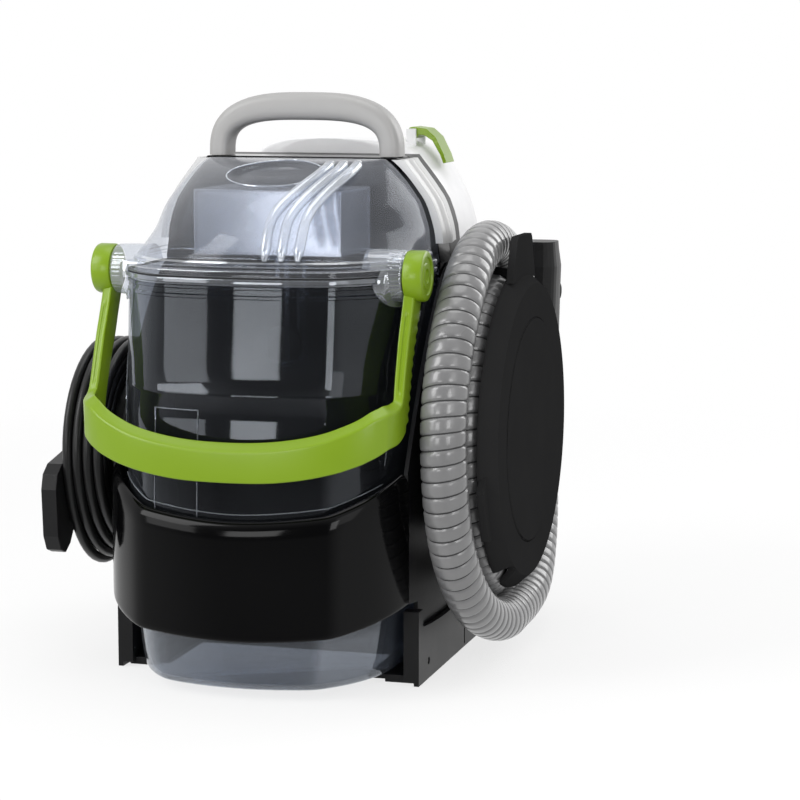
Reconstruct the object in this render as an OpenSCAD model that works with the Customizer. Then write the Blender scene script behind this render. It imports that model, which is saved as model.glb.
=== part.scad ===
// Portable spot extractor: a carry-handled carpet and upholstery cleaner with two lift-out tanks,
// a hose wound on a side rack and a mains lead wound on a side drum.
// +Z is up, the front faces -Y, and the origin is on the floor in the middle plane of the body.

/* [Body] */
// Half width over the base side walls
base_half = 106; // [104:1:112]
// Thickness of the base side walls
base_wall = 3.5; // [2.5:0.5:3.5]
// Height of the base side walls
base_wall_h = 36; // [30:1:44]
// Front face of the two front posts, in front of the origin
post_front = 72; // [66:1:76]
// Width of a front post
post_w = 10.5; // [8:0.5:11]
// Height of a front post
post_h = 50; // [44:1:52]
// Rear face of the base, behind the origin
base_back = 200; // [196:1:215]
// Height of the base rim and its rubber pads
foot_h = 3; // [2:0.5:5]
// Thickness of the housing mouldings
wall = 2.6; // [2:0.2:3.2]
// Thickness of the two side panels
panel_t = 3; // [2:0.5:4]
// Height of the deck that carries the clean water tank
deck_top = 160; // [150:1:166]
// Clearance between parts that seat on each other
seat = 0.3; // [0.2:0.1:0.5]

/* [Tower] */
// Front face of the tower, behind the origin
tower_front = 8; // [8:1:10]
// Depth of the tower from front to back
tower_depth = 58; // [52:1:59]
// Height of the flat top of the tower
tower_top = 343; // [338:1:345]
// Height at which the tower sides begin to curve in
arch_start = 240; // [225:1:250]
// Height at which the arch of the tower would close
arch_close = 352; // [349:1:360]
// Fullness of the tower arch
arch_power = 3.6; // [3:0.1:4.5]
// Thickness of the grey trim over the tower shoulders, at its rear edge
trim_t = 2.4; // [2:0.2:4]
// How far the front edge of the trim stands out past its rear edge
trim_flare = 5; // [2:0.5:6]
// Lower end of the grey trim
trim_low = 286; // [275:1:295]

/* [Front band] */
// Front of the band, in front of the origin
band_front = 146; // [144:1:149]
// Thickness of the band
band_t = 3; // [2:0.5:3]
// Height of the lower edge at the middle of the band
band_low = 40; // [36:1:46]
// Height of the upper edge at the middle of the band
band_high = 118; // [110:1:124]
// Rear end of the band, in front of the origin
band_end = 85; // [80:1:88]

/* [Carry handle] */
// Half width over the handle
grip_half = 70; // [64:1:72]
// Height of the handle above the tower
grip_rise = 43; // [36:1:50]
// Width of a handle leg
grip_leg = 15; // [12:1:17]
// Height of the handle bar at its middle
grip_bar = 19; // [15:1:21]
// Depth of the handle from front to back
grip_depth = 22; // [18:1:26]

/* [Dirty water tank] */
// Half width of the tank under its rim
tank_half = 97; // [92:1:97]
// Front of the tank at band level, in front of the origin
tank_front = 138; // [134:1:139]
// Back face of the tank, behind the origin
tank_back = 5; // [2:0.5:5]
// Underside of the tank
tank_low = 6.3; // [6.3:0.1:8]
// Height of the rim where the lid sits
tank_rim = 271; // [268:1:274]
// Wall of both tanks
tank_wall = 2.6; // [2:0.2:3]
// Width that the rim stands out of the wall
rim_out = 2; // [1:0.5:2]
// Height of the domed lid above its flange
dome_rise = 66; // [60:1:67]
// Thickness of the lid flange
flange_t = 4; // [3:0.5:5]
// Thickness of the lid gasket
gasket_t = 1.2; // [0.8:0.1:1.6]

/* [Bail handle] */
// Height of the bail pivots
bail_z = 271.7; // [268:0.1:274]
// Distance of the bail pivots in front of the origin
bail_y = 77.4; // [74:0.1:79]
// Half width over the bail
bail_half = 113.8; // [112:0.1:114]
// Front of the bail, in front of the origin
bail_front = 155; // [152:1:158]
// Thickness of the bail strap
bail_t = 7.5; // [6:0.5:7.5]
// Radius of a bail boss
boss_r = 16.5; // [14:0.5:18]
// Thickness of a bail boss
boss_t = 14; // [13:0.5:14]
// Radius of a bail pivot pin
bail_pin_r = 7; // [5:0.5:8]
// Radius of the clear ear behind a boss
ear_r = 24; // [20:1:26]
// Running clearance of the pins
run = 0.06; // [0.03:0.01:0.09]

/* [Clean water tank] */
// Half width of the clean tank
clean_half = 88; // [80:1:92]
// Height of the top of the clean tank
clean_top = 353; // [345:1:358]
// Radius of the filler neck
neck_r = 23; // [20:1:24]
// Length of the filler neck
neck_l = 12; // [10:1:14]

/* [Hose rack] */
// Height of the middle of the rack
rack_z = 160; // [158:1:162]
// Distance of the middle of the rack behind the origin
rack_y = 22; // [20:1:24]
// Radius of the drum that the hose is wound on
drum_r = 70; // [64:1:70]
// Outer face of the rack disc, from the middle plane
disc_x = 160; // [160:1:164]
// Radius of the flat face of the disc
disc_face_r = 99; // [95:1:101]
// Radius of the rim of the disc
disc_rim_r = 108; // [106:1:110]
// Depth of the disc from face to rim
disc_depth = 12; // [9:1:12]
// Wall of the disc
disc_wall = 3; // [2:0.5:3]
// Radius of the round cover in the disc
cover_r = 76; // [72:1:80]

/* [Hose and lead] */
// Outer diameter of the hose
hose_d = 30; // [28:1:30]
// Diameter of the mains lead
lead_d = 7; // [6:0.5:7]
// Height of the middle of the cord drum
reel_z = 147; // [145:1:149]
// Distance of the middle of the cord drum in front of the origin
reel_y = 20; // [18:1:22]
// Radius of the cord drum
reel_r = 49.5; // [46:0.5:49.5]
// Outer radius of the wound lead
wound_r = 72.6; // [71:0.2:74]

/* [Hidden] */

// Colours
black_gloss = [0.03, 0.03, 0.035];
black_satin = [0.09, 0.09, 0.095];
black_matt = [0.14, 0.14, 0.14];
lime = [0.62, 0.78, 0.18];
silver_grey = [0.68, 0.67, 0.66];
smoke = [0.45, 0.48, 0.52, 0.5];
clear = [0.82, 0.85, 0.87, 0.5];
hose_grey = [0.55, 0.56, 0.57];
steel = [0.72, 0.73, 0.75];
rubber = [0.06, 0.06, 0.06];
brass_tone = [0.75, 0.6, 0.3];

// Derived places
panel_out = base_half - base_wall - seat;
panel_in = panel_out - panel_t;
shell_half = panel_in - seat;
floor_top = foot_h + wall + 0.4;
tower_back = tower_front + tower_depth;
deck_low = deck_top - panel_t;
flange_low = tank_rim + gasket_t;
flange_top = flange_low + flange_t;
clean_low = deck_top + seat;
clean_front = tower_back + 2.5;
clean_back = base_back - 2;
clean_mid_y = (clean_front + clean_back) / 2;
neck_y = clean_mid_y;
disc_in = disc_x - disc_wall;
hose_r = hose_d / 2;
lead_r = lead_d / 2;
arc_steps = 36;

// ---------- outlines ----------

// A round bow, from its left shoulder to its right one
function bow(half, front, shoulder, power = 2.5, steps = arc_steps) = [
    for (i = [0:steps])
        let (a = 180 * i / steps, c = cos(a), s = sin(a))
        [-half * sign(c) * pow(abs(c), 2 / power), -shoulder - (front - shoulder) * pow(max(s, 0),
            2 / power)]
];

// A prow: a shallow front face between two upright corners, and sides that curve back from them
corner_share = 0.63;
corner_depth = 0.88;
side_power = 2.4;
function prow_corner(half, front, shoulder) =
    [corner_share * half, shoulder + corner_depth * (front - shoulder)];

// Half width of a prow at y, behind its corners
function prow_x(half, front, shoulder, y) = let (c = prow_corner(half, front, shoulder))
    half - (half - c.x) * pow(max(0, -y - shoulder) / (c.y - shoulder), side_power);

// Front of a prow at x
function prow_y(half, front, shoulder, x) = let (c = prow_corner(half, front, shoulder))
    abs(x) <= c.x ? -front + (front - c.y) * pow(x / c.x, 2)
    : -shoulder - (c.y - shoulder) * pow((half - abs(x)) / (half - c.x), 1 / side_power);

// A prow from its left shoulder to its right one
function prow(half, front, shoulder, side_steps = 10,
    front_steps = 16) = let (c = prow_corner(half, front, shoulder))
    concat(
        [for (i = [0:side_steps - 1]) let (y = -shoulder - (c.y - shoulder) * i / side_steps)
            [-prow_x(half, front, shoulder, y), y]],
        [for (i = [0:front_steps]) let (x = c.x * (2 * i / front_steps - 1)) [x, prow_y(half,
            front, shoulder, x)]],
        [for (i = [side_steps - 1:-1:0]) let (y = -shoulder - (c.y - shoulder) * i / side_steps)
            [prow_x(half, front, shoulder, y), y]]);

// A closed plan outline: a prow and a flat back with chamfered corners
function tank_plan(half, front, shoulder, back, corner = 8) = concat(
    [[-half + corner, back], [-half, back - corner]],
    prow(half, front, shoulder),
    [[half, back - corner], [half - corner, back]]
);

// Half width of the tower arch at height z
function arch_half(half, z, close = arch_close) =
    z <= arch_start ? half
    : half * pow(max(0, 1 - pow((z - arch_start) / (close - arch_start), arch_power)), 1 / arch_power);

// Front view of the tower arch between two heights
function arch_plan(half, low, high, close = arch_close, steps = 14) = concat(
    [[-half, low], [half, low], [half, arch_start]],
    [for (i = [1:steps]) let (z =
        arch_start + (high - arch_start) * sin(90 * i / steps)) [arch_half(half, z, close), z]],
    [for (i = [steps:-1:1]) let (z =
        arch_start + (high - arch_start) * sin(90 * i / steps)) [-arch_half(half, z, close), z]],
    [[-half, arch_start]]
);

// A full rounded box outline about a point
function round_box(half_x, half_y, cx, cy, power = 4, steps = 40) = [
    for (i = [0:steps - 1])
        let (a = 360 * i / steps, c = cos(a), s = sin(a))
        [cx + half_x * sign(c) * pow(abs(c), 2 / power), cy + half_y * sign(s) * pow(abs(s), 2 / power)]
];

function ring_at(outline, z) = [for (p = outline) [p.x, p.y, z]];

// ---------- building blocks ----------

// A closed skin through rings of equal length, each running anticlockwise seen from above
module skin(rings) {
    n = len(rings[0]);
    m = len(rings);
    points = [for (r = rings) each r];
    sides = [for (i = [0:m - 2], j = [0:n - 1]) each [
        [i * n + j, (i + 1) * n + j, (i + 1) * n + (j + 1) % n],
        [i * n + j, (i + 1) * n + (j + 1) % n, i * n + (j + 1) % n]]];
    first = [for (j = [0:n - 1]) j];
    last = [for (j = [n - 1:-1:0]) (m - 1) * n + j];
    polyhedron(points, concat(sides, [first, last]), convexity = 8);
}

function unit(v) = v / norm(v);

// Direction of a route at point i
function heading(route, i) = unit(route[min(i + 1, len(route) - 1)] - route[max(i - 1, 0)]);

// Rings of a round tube along a route; up is any direction that the route never takes
function tube_rings(route, r, sides, up) = [
    for (i = [0:len(route) - 1])
        let (t = heading(route, i), u = unit(cross(up, t)), v = cross(t, u))
        [for (k = [0:sides - 1]) route[i] + r * (cos(360 * k / sides) * u + sin(360 * k / sides) * v)]
];

module tube(route, r, sides, up) {
    skin(tube_rings(route, r, sides, up));
}

// A cylinder along X from x0 to x1
module rod_x(x0, x1, y, z, r) {
    translate([x0, y, z]) rotate([0, 90, 0]) cylinder(h = x1 - x0, r = r, $fn = 64);
}

// A cylinder along Y from y0 to y1
module rod_y(y0, y1, x, z, r) {
    translate([x, y0, z]) rotate([-90, 0, 0]) cylinder(h = y1 - y0, r = r, $fn = 64);
}

// A side outline of [y, z] points, extruded along X from x0 to x1
module slab_x(x0, x1, outline) {
    translate([x0, 0, 0]) rotate([90, 0, 90]) linear_extrude(height = x1 - x0) polygon(outline);
}

// A front outline of [x, z] points, extruded along Y from y0 to y1
module slab_y(y0, y1, outline) {
    translate([0, y1, 0]) rotate([90, 0, 0]) linear_extrude(height = y1 - y0) polygon(outline);
}

module box(low, high) {
    translate(low) cube(high - low);
}

module both_sides() {
    children();
    mirror([1, 0, 0]) children();
}

// ---------- base and housing ----------

groove_y = 46;
groove_w = 2.5;
groove_deep = 1.2;
case_screw_y = -47;
case_screw_z = 12;
case_screw_r = 2.6;
ledge_in = 70;
rim_t = 3.5;
vent_low = 52;
vent_high = 108;
vent_left = -72;
vent_right = -8;
switch_x = 52;
switch_z = 112;
switch_half_w = 17;
switch_half_h = 11;

// Side wall outline: a post at the front and a shallow hollow along the top
wall_outline = concat(
    [[base_back, 0], [base_back, base_wall_h + 12], [150, base_wall_h + 6]],
    [for (i = [4:-1:-4]) let (y = 10 + i * 17) [y, base_wall_h - 1.6 + 4.6 * pow((y - 10) / 81, 2)]],
    [[-post_front + post_w, base_wall_h + 3], [-post_front + post_w, post_h], [-post_front,
        post_h], [-post_front, 0]]
);

module base_frame() {
    color(black_satin) {
        difference() {
            union() {
                both_sides() difference() {
                    slab_x(base_half - base_wall, base_half, wall_outline);
                    box([base_half - groove_deep, groove_y, foot_h - 1], [base_half + 1,
                        groove_y + groove_w, 20]);
                    rod_x(base_half - base_wall - 1, base_half + 1, case_screw_y, case_screw_z,
                        case_screw_r);
                }
                both_sides() box([base_half - post_w, -post_front, foot_h],
                    [base_half - base_wall, -post_front + post_w, post_h]);
                both_sides() box([ledge_in, -post_front + 4, foot_h], [base_half - base_wall,
                    tower_front + 4, floor_top]);
                box([-base_half + base_wall, tower_front, foot_h], [base_half - base_wall,
                    base_back, floor_top]);
                // Rim that the base stands on, with the side walls
                for (y = [tower_front, base_back - rim_t]) box([-base_half + base_wall, y, 0],
                    [base_half - base_wall, y + rim_t, foot_h]);
                box([-shell_half, tower_front, floor_top], [shell_half, tower_front + wall, base_wall_h]);
                box([-shell_half, base_back - wall, floor_top], [shell_half, base_back, base_wall_h]);
                for (x = [-40, 40], y = [-40, 40]) translate([x, motor_y + y,
                    floor_top]) cylinder(h = 12, r = 5, $fn = 48);
            }
            // Clearance for the side panels, which stand inside the walls
            both_sides() box([panel_in - seat, -post_front + post_w, floor_top + seat],
                [panel_out + seat, base_back + 1, post_h + 1]);
        }
    }
}

// Pads in the corners of the rim, level with its edge
module rubber_feet() {
    color(rubber) both_sides() {
        for (y = [-post_front + 8, base_back - rim_t - 30])
            box([base_half - base_wall - 22, y, 0], [base_half - base_wall - 2, y + 26, foot_h]);
    }
}

// Deck under the clean tank and the rear wall, as one bent moulding
module rear_housing() {
    bend = 10;
    outline = concat(
        [[tower_back + seat, deck_low], [tower_back + seat, deck_top]],
        [for (a = [90:-15:0]) [base_back - bend + bend * cos(a), deck_top - bend + bend * sin(a)]],
        [[base_back, base_wall_h + seat], [base_back - panel_t, base_wall_h + seat]],
        [for (a = [0:15:90]) [base_back - bend + (bend - panel_t) * cos(a),
            deck_top - bend + (bend - panel_t) * sin(a)]]
    );
    color(black_satin) difference() {
        slab_x(-shell_half, shell_half, outline);
        translate([0, neck_y, deck_low - 1]) cylinder(h = panel_t + 2, r = neck_r + 7, $fn = 64);
        box([vent_left, base_back - panel_t - 1, vent_low], [vent_right, base_back + 1, vent_high]);
        box([switch_x - switch_half_w, base_back - panel_t - 1, switch_z - switch_half_h],
            [switch_x + switch_half_w, base_back + 1, switch_z + switch_half_h]);
    }
}

port_z = 300;
port_r = 15;
inlet_x = 52;
inlet_r = 12.5;

module tower_half(y0, y1, open_back) {
    low = base_wall_h + seat;
    difference() {
        slab_y(y0, y1, arch_plan(shell_half, low, tower_top));
        slab_y(open_back ? y0 + wall : y0 - 1, open_back ? y1 + 1 : y1 - wall,
            arch_plan(shell_half - wall, low - 10, tower_top - wall, arch_close - wall));
        children();
    }
}

module tower_front_shell() {
    split = tower_front + tower_depth / 2;
    color(black_gloss) tower_half(tower_front, split - seat / 2, true) {
        rod_y(tower_front - 1, tower_front + wall + 1, 0, port_z, port_r);
        rod_y(tower_front - 1, tower_front + wall + 1, inlet_x, port_bend.z, inlet_r + seat);
        rod_x(shell_half - wall - 1, shell_half + 1, port_bend.y, port_bend.z, inlet_r + seat);
    }
}

module tower_rear_shell() {
    split = tower_front + tower_depth / 2;
    color(black_satin) tower_half(split + seat / 2, tower_back, false)
        rod_x(shell_half - wall - 1, shell_half + 1, port_bend.y, port_bend.z, inlet_r + seat);
}

// Side panel: a cheek beside the tank that rises in a curve to the tower, and a flank behind it
panel_top = 272;
panel_mid = 190;
panel_reach = 96;
cheek_top = 144;
panel_outline = concat(
    [[base_back - seat, floor_top + 2 * seat], [base_back - seat, deck_top]],
    [for (a = [0:10:90]) [rack_y + panel_reach * pow(cos(a), 0.67),
        panel_mid + (panel_top - panel_mid) * pow(sin(a), 0.67)]],
    [for (i = [1:9]) let (t = i / 9)
        [rack_y - (rack_y + band_end - seat) * t, panel_top - (panel_top - cheek_top) * pow(t, 1.5)]],
    [[-band_end + seat, 58], [-post_front + post_w + seat, 55], [-post_front + post_w + seat,
        floor_top + 2 * seat]]
);

// Tongue on a side panel's front edge that laps inside the band's end
tongue_low = 70;
tongue_high = 130;
tongue_t = 1.6;
tongue_reach = 2.5;
tongue_root = 15;

module panel_tongue() {
    x0 = panel_in - tongue_t - 0.6;
    box([x0, -band_end - tongue_reach, tongue_low], [x0 + tongue_t, -band_end + tongue_root, tongue_high]);
    box([x0, -band_end + seat, tongue_low], [panel_in + 1, -band_end + tongue_root, tongue_high]);
}

module side_panel_right() {
    color(black_satin) difference() {
        union() {
            slab_x(panel_in, panel_out, panel_outline);
            panel_tongue();
        }
        rod_x(panel_in - 1, panel_out + 1, port_bend.y, port_bend.z, inlet_r + seat);
    }
}

module side_panel_left() {
    color(black_satin) mirror([1, 0, 0]) {
        slab_x(panel_in, panel_out, panel_outline);
        panel_tongue();
    }
}

// Front band: one section swept round the bow, with a rolled upper edge
band_side_low = 58;
band_side_high = 144;
function band_low_at(y) = band_low + (band_side_low - band_low) * pow(max(0,
    (y + band_front) / (band_front - band_end)), 0.9);
function band_high_at(y) = band_high + (band_side_high - band_high) * pow(max(0,
    (y + band_front) / (band_front - band_end)), 0.85);

function band_section(p, d) = let (low = band_low_at(p.y), high = band_high_at(p.y), n = [d.x, d.y,
    0], q = [p.x, p.y, 0])
    [for (s = [[-1, low], [-band_t, low], [-band_t, high - 8], [-3.6, high - 3.6], [-6,
        high - 2.2], [-6, high],
            [-3.4, high - 1.2], [-1.2, high - 4], [0, high - 9], [0, low + 2]])
        q + n * s[0] + [0, 0, s[1]]];

band_shoulder = 60;

module front_band() {
    half = base_half - seat;
    end_x = prow_x(half, band_front, band_shoulder, -band_end);
    // The prow stops where it reaches the band's rear ends, which are cut square
    middle = [for (p = prow(half, band_front, band_shoulder, 16, 20)) if (p.y < -band_end - 1.5) p];
    path = concat([[-end_x, -band_end]], middle, [[end_x, -band_end]]);
    last = len(path) - 1;
    color(black_gloss) skin([for (i = [0:last])
        let (t = i == 0 ? [0, -1] : i == last ? [0, 1] : unit(path[i + 1] - path[i - 1]))
            band_section(path[i], [t.y, -t.x])]);
}

module case_screws() {
    color(steel) both_sides() {
        rod_x(panel_out + 0.1, base_half - 1, case_screw_y, case_screw_z, case_screw_r - 0.2);
    }
}

// ---------- carry handle and trim ----------

handle_y = tower_front + 2;
handle_split = 12.5;

// One handle section at angle a of the arch, y0 and y1 from front to back
function handle_section(a, y0, y1, soft) = let (
    c = cos(a), s = sin(a),
    mid_half = grip_half - grip_leg / 2,
    mid_rise = grip_rise - grip_bar / 2,
    x = -mid_half * sign(c) * pow(abs(c), 2 / 3),
    z = mid_rise * pow(max(s, 0), 2 / 3),
    nx = -sign(c) * pow(abs(c), 4 / 3) / mid_half,
    nz = pow(max(s, 0), 4 / 3) / mid_rise,
    n = unit([nx, nz]),
    h = grip_leg / 2 + (grip_bar - grip_leg) / 2 * pow(max(s, 0), 2))
    [for (k = soft) let (w = k[0] * h, y = k[1] > 0.5 ? y1 - (1 - k[1]) * (y1 - y0) : y0 + k[1] * (y1 - y0))
        [x + n.x * w, handle_y + y, tower_top + seat + max(0, z + n.y * w)]];

front_soft = [[1, 1], [1, 0.45], [0.8, 0.12], [0.35, 0], [-0.35, 0], [-0.8, 0.12], [-1, 0.45], [-1, 1]];
back_soft = [[0.94, 0], [-0.94, 0], [-0.94, 0.5], [-0.7, 0.86], [-0.3, 1], [0.3, 1], [0.7, 0.86],
    [0.94, 0.5]];

module handle_half(y0, y1, soft) {
    steps = 24;
    // The arch meets the tower square on, so its first and last sections lie flat
    skin([for (i = [0:steps]) handle_section(180 * i / steps, y0, y1, soft)]);
}

module carry_handle() {
    color(silver_grey) handle_half(0, handle_split, front_soft);
}

module handle_back() {
    color(silver_grey) handle_half(handle_split + 0.3, grip_depth, back_soft);
}

trim_set_back = 6;
trim_w = 32;

// Level cut through the right trim at height z
function trim_ring(z) = let (
    y0 = tower_front + trim_set_back,
    inner = arch_half(shell_half + seat, z, arch_close + 2 * seat),
    outer = arch_half(shell_half + seat + trim_t, z, arch_close + seat + trim_t))
    [[inner, y0, z], [outer + trim_flare - 1, y0, z], [outer + trim_flare, y0 + 2, z], [outer,
        y0 + trim_w, z],
        [inner, y0 + trim_w, z]];

// Two rails over the tower shoulders, wider in front
module trim_arch() {
    steps = 14;
    color(silver_grey) both_sides()
        skin([for (i = [0:steps]) trim_ring(trim_low + (tower_top - 1 - trim_low) * sin(90 * i / steps))]);
}

// ---------- hose rack ----------

lug_w = 58;
lug_tip = 40;
lug_r = 132;
notch_r = 11;
notch_at = 240;

module rack_drum() {
    flange_r = drum_r + 4;
    color(black_matt) difference() {
        union() {
            rod_x(panel_out + seat, disc_in - seat, rack_y, rack_z, drum_r);
            rod_x(panel_out + seat, panel_out + seat + 3, rack_y, rack_z, flange_r);
        }
        rod_x(panel_out + seat + 3, disc_in + 1, rack_y, rack_z, drum_r - 3);
        for (a = [45, 135, 225, 315])
            rod_x(panel_out, disc_in, rack_y + 54 * cos(a), rack_z + 54 * sin(a), 2.2);
    }
}

// Rack disc: a dished plate turned about the drum axis, with lugs, a notch and a seat for its cover
module rack_disc() {
    color(black_matt) translate([0, rack_y, rack_z]) rotate([0, 90, 0]) rotate([0, 0, 90]) difference() {
        union() {
            rotate_extrude($fn = 96) polygon([
                [8, disc_in], [8, disc_x - 1.6], [cover_r + 0.4, disc_x - 1.6], [cover_r + 0.4, disc_x],
                [disc_face_r, disc_x], [disc_rim_r - 1, disc_x - disc_depth + 3], [disc_rim_r,
                    disc_x - disc_depth],
                [disc_rim_r - disc_wall, disc_x - disc_depth], [disc_face_r - 2, disc_in]]);
            // Top lug
            translate([0, 0, disc_x - disc_depth + 1]) linear_extrude(height = 5) polygon([
                [-lug_w / 2 - 6, disc_rim_r - 6], [lug_w / 2, disc_rim_r - 6], [lug_tip / 2, lug_r - 3],
                [lug_tip / 2 - 3, lug_r], [-lug_tip / 2, lug_r], [-lug_tip / 2 - 3, lug_r - 3]]);
            // Front and rear lugs
            for (a = [112, 285]) rotate([0, 0, a]) translate([0, 0,
                disc_x - disc_depth + 1]) linear_extrude(height = 5)
                polygon([[-24, disc_rim_r - 5], [24, disc_rim_r - 5], [18, disc_rim_r + 6], [-18,
                    disc_rim_r + 6]]);
        }
        rotate([0, 0, notch_at - 90]) translate([0, disc_rim_r + 2, disc_x - disc_depth - 1])
            cylinder(h = disc_depth + 2, r = notch_r, $fn = 48);
        for (a = [0:90:270]) rotate([0, 0, a + 45]) translate([54, 0, disc_in - 1]) cylinder(h = 4,
            r = 2.2, $fn = 32);
    }
}

module rack_cover() {
    color(black_matt) translate([0, rack_y, rack_z]) rotate([0, 90, 0]) rotate_extrude($fn = 96) polygon([
        [0, disc_x - 1.4], [cover_r, disc_x - 1.4], [cover_r, disc_x + 0.2], [cover_r - 1,
            disc_x + 0.8], [0, disc_x + 1.2]]);
}

module rack_screws() {
    color(steel) for (a = [45, 135, 225, 315])
        rod_x(panel_out + seat + 3.4, disc_x - 1.7, rack_y + 54 * cos(a), rack_z + 54 * sin(a), 2.05);
}

// ---------- hose ----------

// The wound part of the hose as [angle about the rack, radius, x]: an inner turn, then an outer turn
hose_turns = [
    [94, 91, 134], [101, 91, 134], [115, 91, 134], [132, 91, 134], [150, 91, 135], [170, 91, 136],
    [190, 91, 137], [210, 92, 138], [228, 93, 138], [245, 95, 136], [262, 99, 132], [280, 106, 126],
    [298, 113, 123], [316, 119, 122], [334, 124, 122], [352, 127, 123], [370, 127, 124], [390, 126, 125],
    [410, 125, 126], [430, 125, 127], [450, 126, 128], [470, 125, 129], [490, 124, 130], [510, 124, 130],
    [530, 124, 130], [550, 124, 131], [568, 125, 132], [585, 126, 134], [602, 127, 136], [618, 129, 138],
    [630, 132, 140]];
// The free end as [x, y, z], from the bottom of the coil up to the grip
hose_tail = [[140, 48, 28], [140, 74, 29], [140, 99, 34], [138, 122, 43], [135, 143, 56], [132, 161, 73],
    [129, 175, 93], [127, 183, 114], [126, 185, 134], [126, 185, 144]];
hose_route = concat(
    [for (p = hose_turns) [p[2], rack_y + p[1] * cos(p[0]), rack_z + p[1] * sin(p[0])]],
    hose_tail);
hose_sides = 12;
cuff_l = 12;
hose_start = hose_route[0];
hose_way = heading(hose_route, 0);
port_bend = hose_start - hose_way * (cuff_l + 4);
port_out_r = 15.5;
grip_cuff_l = 18;
hose_end = hose_route[len(hose_route) - 1];

module hose() {
    color(hose_grey) tube(hose_route, hose_r, hose_sides, [1, 0, 0.0001]);
}

// Turns what lies along +Z to the direction in which the hose starts
module along_start() {
    rotate([-atan2(hose_way.y, hose_way.z), 0, 0]) children();
}

// Elbow that brings the hose out of the side panel and turns it along the coil
module hose_port() {
    color(black_matt) difference() {
        union() {
            rod_x(panel_out + seat, port_bend.x, port_bend.y, port_bend.z, port_out_r);
            translate(port_bend) sphere(r = port_out_r, $fn = 64);
            rod_x(panel_out + seat, panel_out + seat + 3, port_bend.y, port_bend.z, port_out_r + 2.5);
        }
        rod_x(panel_out - 1, port_bend.x, port_bend.y, port_bend.z, inlet_r);
        translate(hose_start - hose_way * cuff_l) along_start() cylinder(h = 30, r = 40, $fn = 64);
    }
}

module hose_cuffs() {
    color(black_matt) {
        translate(hose_start - hose_way * cuff_l) along_start() cylinder(h = cuff_l,
            r = hose_r + 1, $fn = 64);
        translate(hose_end) cylinder(h = grip_cuff_l, r = hose_r + 2, $fn = 64);
    }
}

// Pipe from the hose elbow to the back of the dirty tank
module inlet_pipe() {
    color(black_satin) difference() {
        union() {
            rod_x(inlet_x, panel_out, port_bend.y, port_bend.z, inlet_r);
            rod_y(tank_back + seat, port_bend.y, inlet_x, port_bend.z, inlet_r);
            translate([inlet_x, port_bend.y, port_bend.z]) cube(2 * inlet_r + 2, center = true);
        }
        rod_x(inlet_x - 3, panel_out + 1, port_bend.y, port_bend.z, inlet_r - 2);
        rod_y(tank_back - 1, port_bend.y + 4, inlet_x, port_bend.z, inlet_r - 2.5);
    }
}

// ---------- hand grip on the hose ----------

grip_x = hose_end.x;
grip_y = hose_end.y;
grip_low = hose_end.z + grip_cuff_l;
grip_high = 275;
trigger_y = grip_y + 24.5;
trigger_z = 236;
trigger_pin_r = 2;
trigger_half = 8;

// Half of a grip section: side is -1 for the left shell and 1 for the right one
function grip_half_ring(z, half_x, half_y, dy, side) = let (steps = 12)
    [for (i = [0:steps]) let (a = 90 - side * 180 + side * 180 * i / steps, c = cos(a), s = sin(a))
        [grip_x + side * 0.05 + side * half_x * pow(abs(c), 0.6),
            grip_y + dy + half_y * sign(s) * pow(abs(s), 0.6), z]];

module grip_shell(side) {
    sections = [[grip_low, 15, 16, 0], [grip_low + 12, 15, 17, 0], [grip_low + 36, 14, 16, 0],
        [grip_low + 58, 14.5, 16.5, 0],
        [trigger_z + 6, 15, 17, 0], [grip_high - 18, 15.5, 16.5, 0], [grip_high - 6, 14, 14, 0],
            [grip_high, 13.5, 13.5, 0]];
    color(side < 0 ? black_satin : black_matt) skin([for (s = sections) grip_half_ring(s[0], s[1],
        s[2], s[3], side)]);
}

module grip_left() {
    grip_shell(-1);
}

module grip_right() {
    grip_shell(1);
}

// Bracket on the back of the grip with the trigger's ears and pin
module trigger_mount() {
    ear_t = 2.4;
    ear_in = trigger_half + 0.4;
    y0 = grip_y + 17 + seat;
    color(black_matt) {
        box([grip_x - ear_in - ear_t, y0, trigger_z - 8], [grip_x + ear_in + ear_t, y0 + 1.6,
            trigger_z + 8]);
        for (side = [-1, 1]) translate([grip_x + side * (ear_in + ear_t / 2), 0, 0]) {
            box([-ear_t / 2, y0, trigger_z - 6], [ear_t / 2, trigger_y, trigger_z + 6]);
            rod_x(-ear_t / 2, ear_t / 2, trigger_y, trigger_z, 6);
        }
        rod_x(grip_x - ear_in - 0.5, grip_x + ear_in + 0.5, trigger_y, trigger_z, trigger_pin_r);
    }
}

module trigger() {
    outline = [[3, 3], [5, -4], [6, -22], [9, -44], [5, -46], [1, -24], [-2, -6], [-3, 0]];
    color(lime) difference() {
        union() {
            rod_x(grip_x - trigger_half, grip_x + trigger_half, trigger_y, trigger_z, 4.6);
            slab_x(grip_x - trigger_half, grip_x + trigger_half,
                [for (p = outline) [trigger_y + p[0], trigger_z + p[1]]]);
        }
        rod_x(grip_x - trigger_half - 1, grip_x + trigger_half + 1, trigger_y, trigger_z,
            trigger_pin_r + run);
    }
}

// Spring clip on the side panel that holds the grip's cuff
module grip_clip() {
    clip_r = hose_r + 2 + seat;
    low = hose_end.z + 3;
    high = low + 11;
    color(black_matt) difference() {
        union() {
            translate([grip_x, grip_y, low]) cylinder(h = high - low, r = clip_r + 3, $fn = 64);
            box([panel_out + seat, grip_y - 12, low], [grip_x - clip_r, grip_y + 12, high]);
        }
        translate([grip_x, grip_y, low - 1]) cylinder(h = high - low + 2, r = clip_r, $fn = 64);
        box([grip_x + 4, grip_y - 30, low - 1], [grip_x + 40, grip_y + 30, high + 1]);
    }
}

// ---------- stain tool ----------

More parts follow.
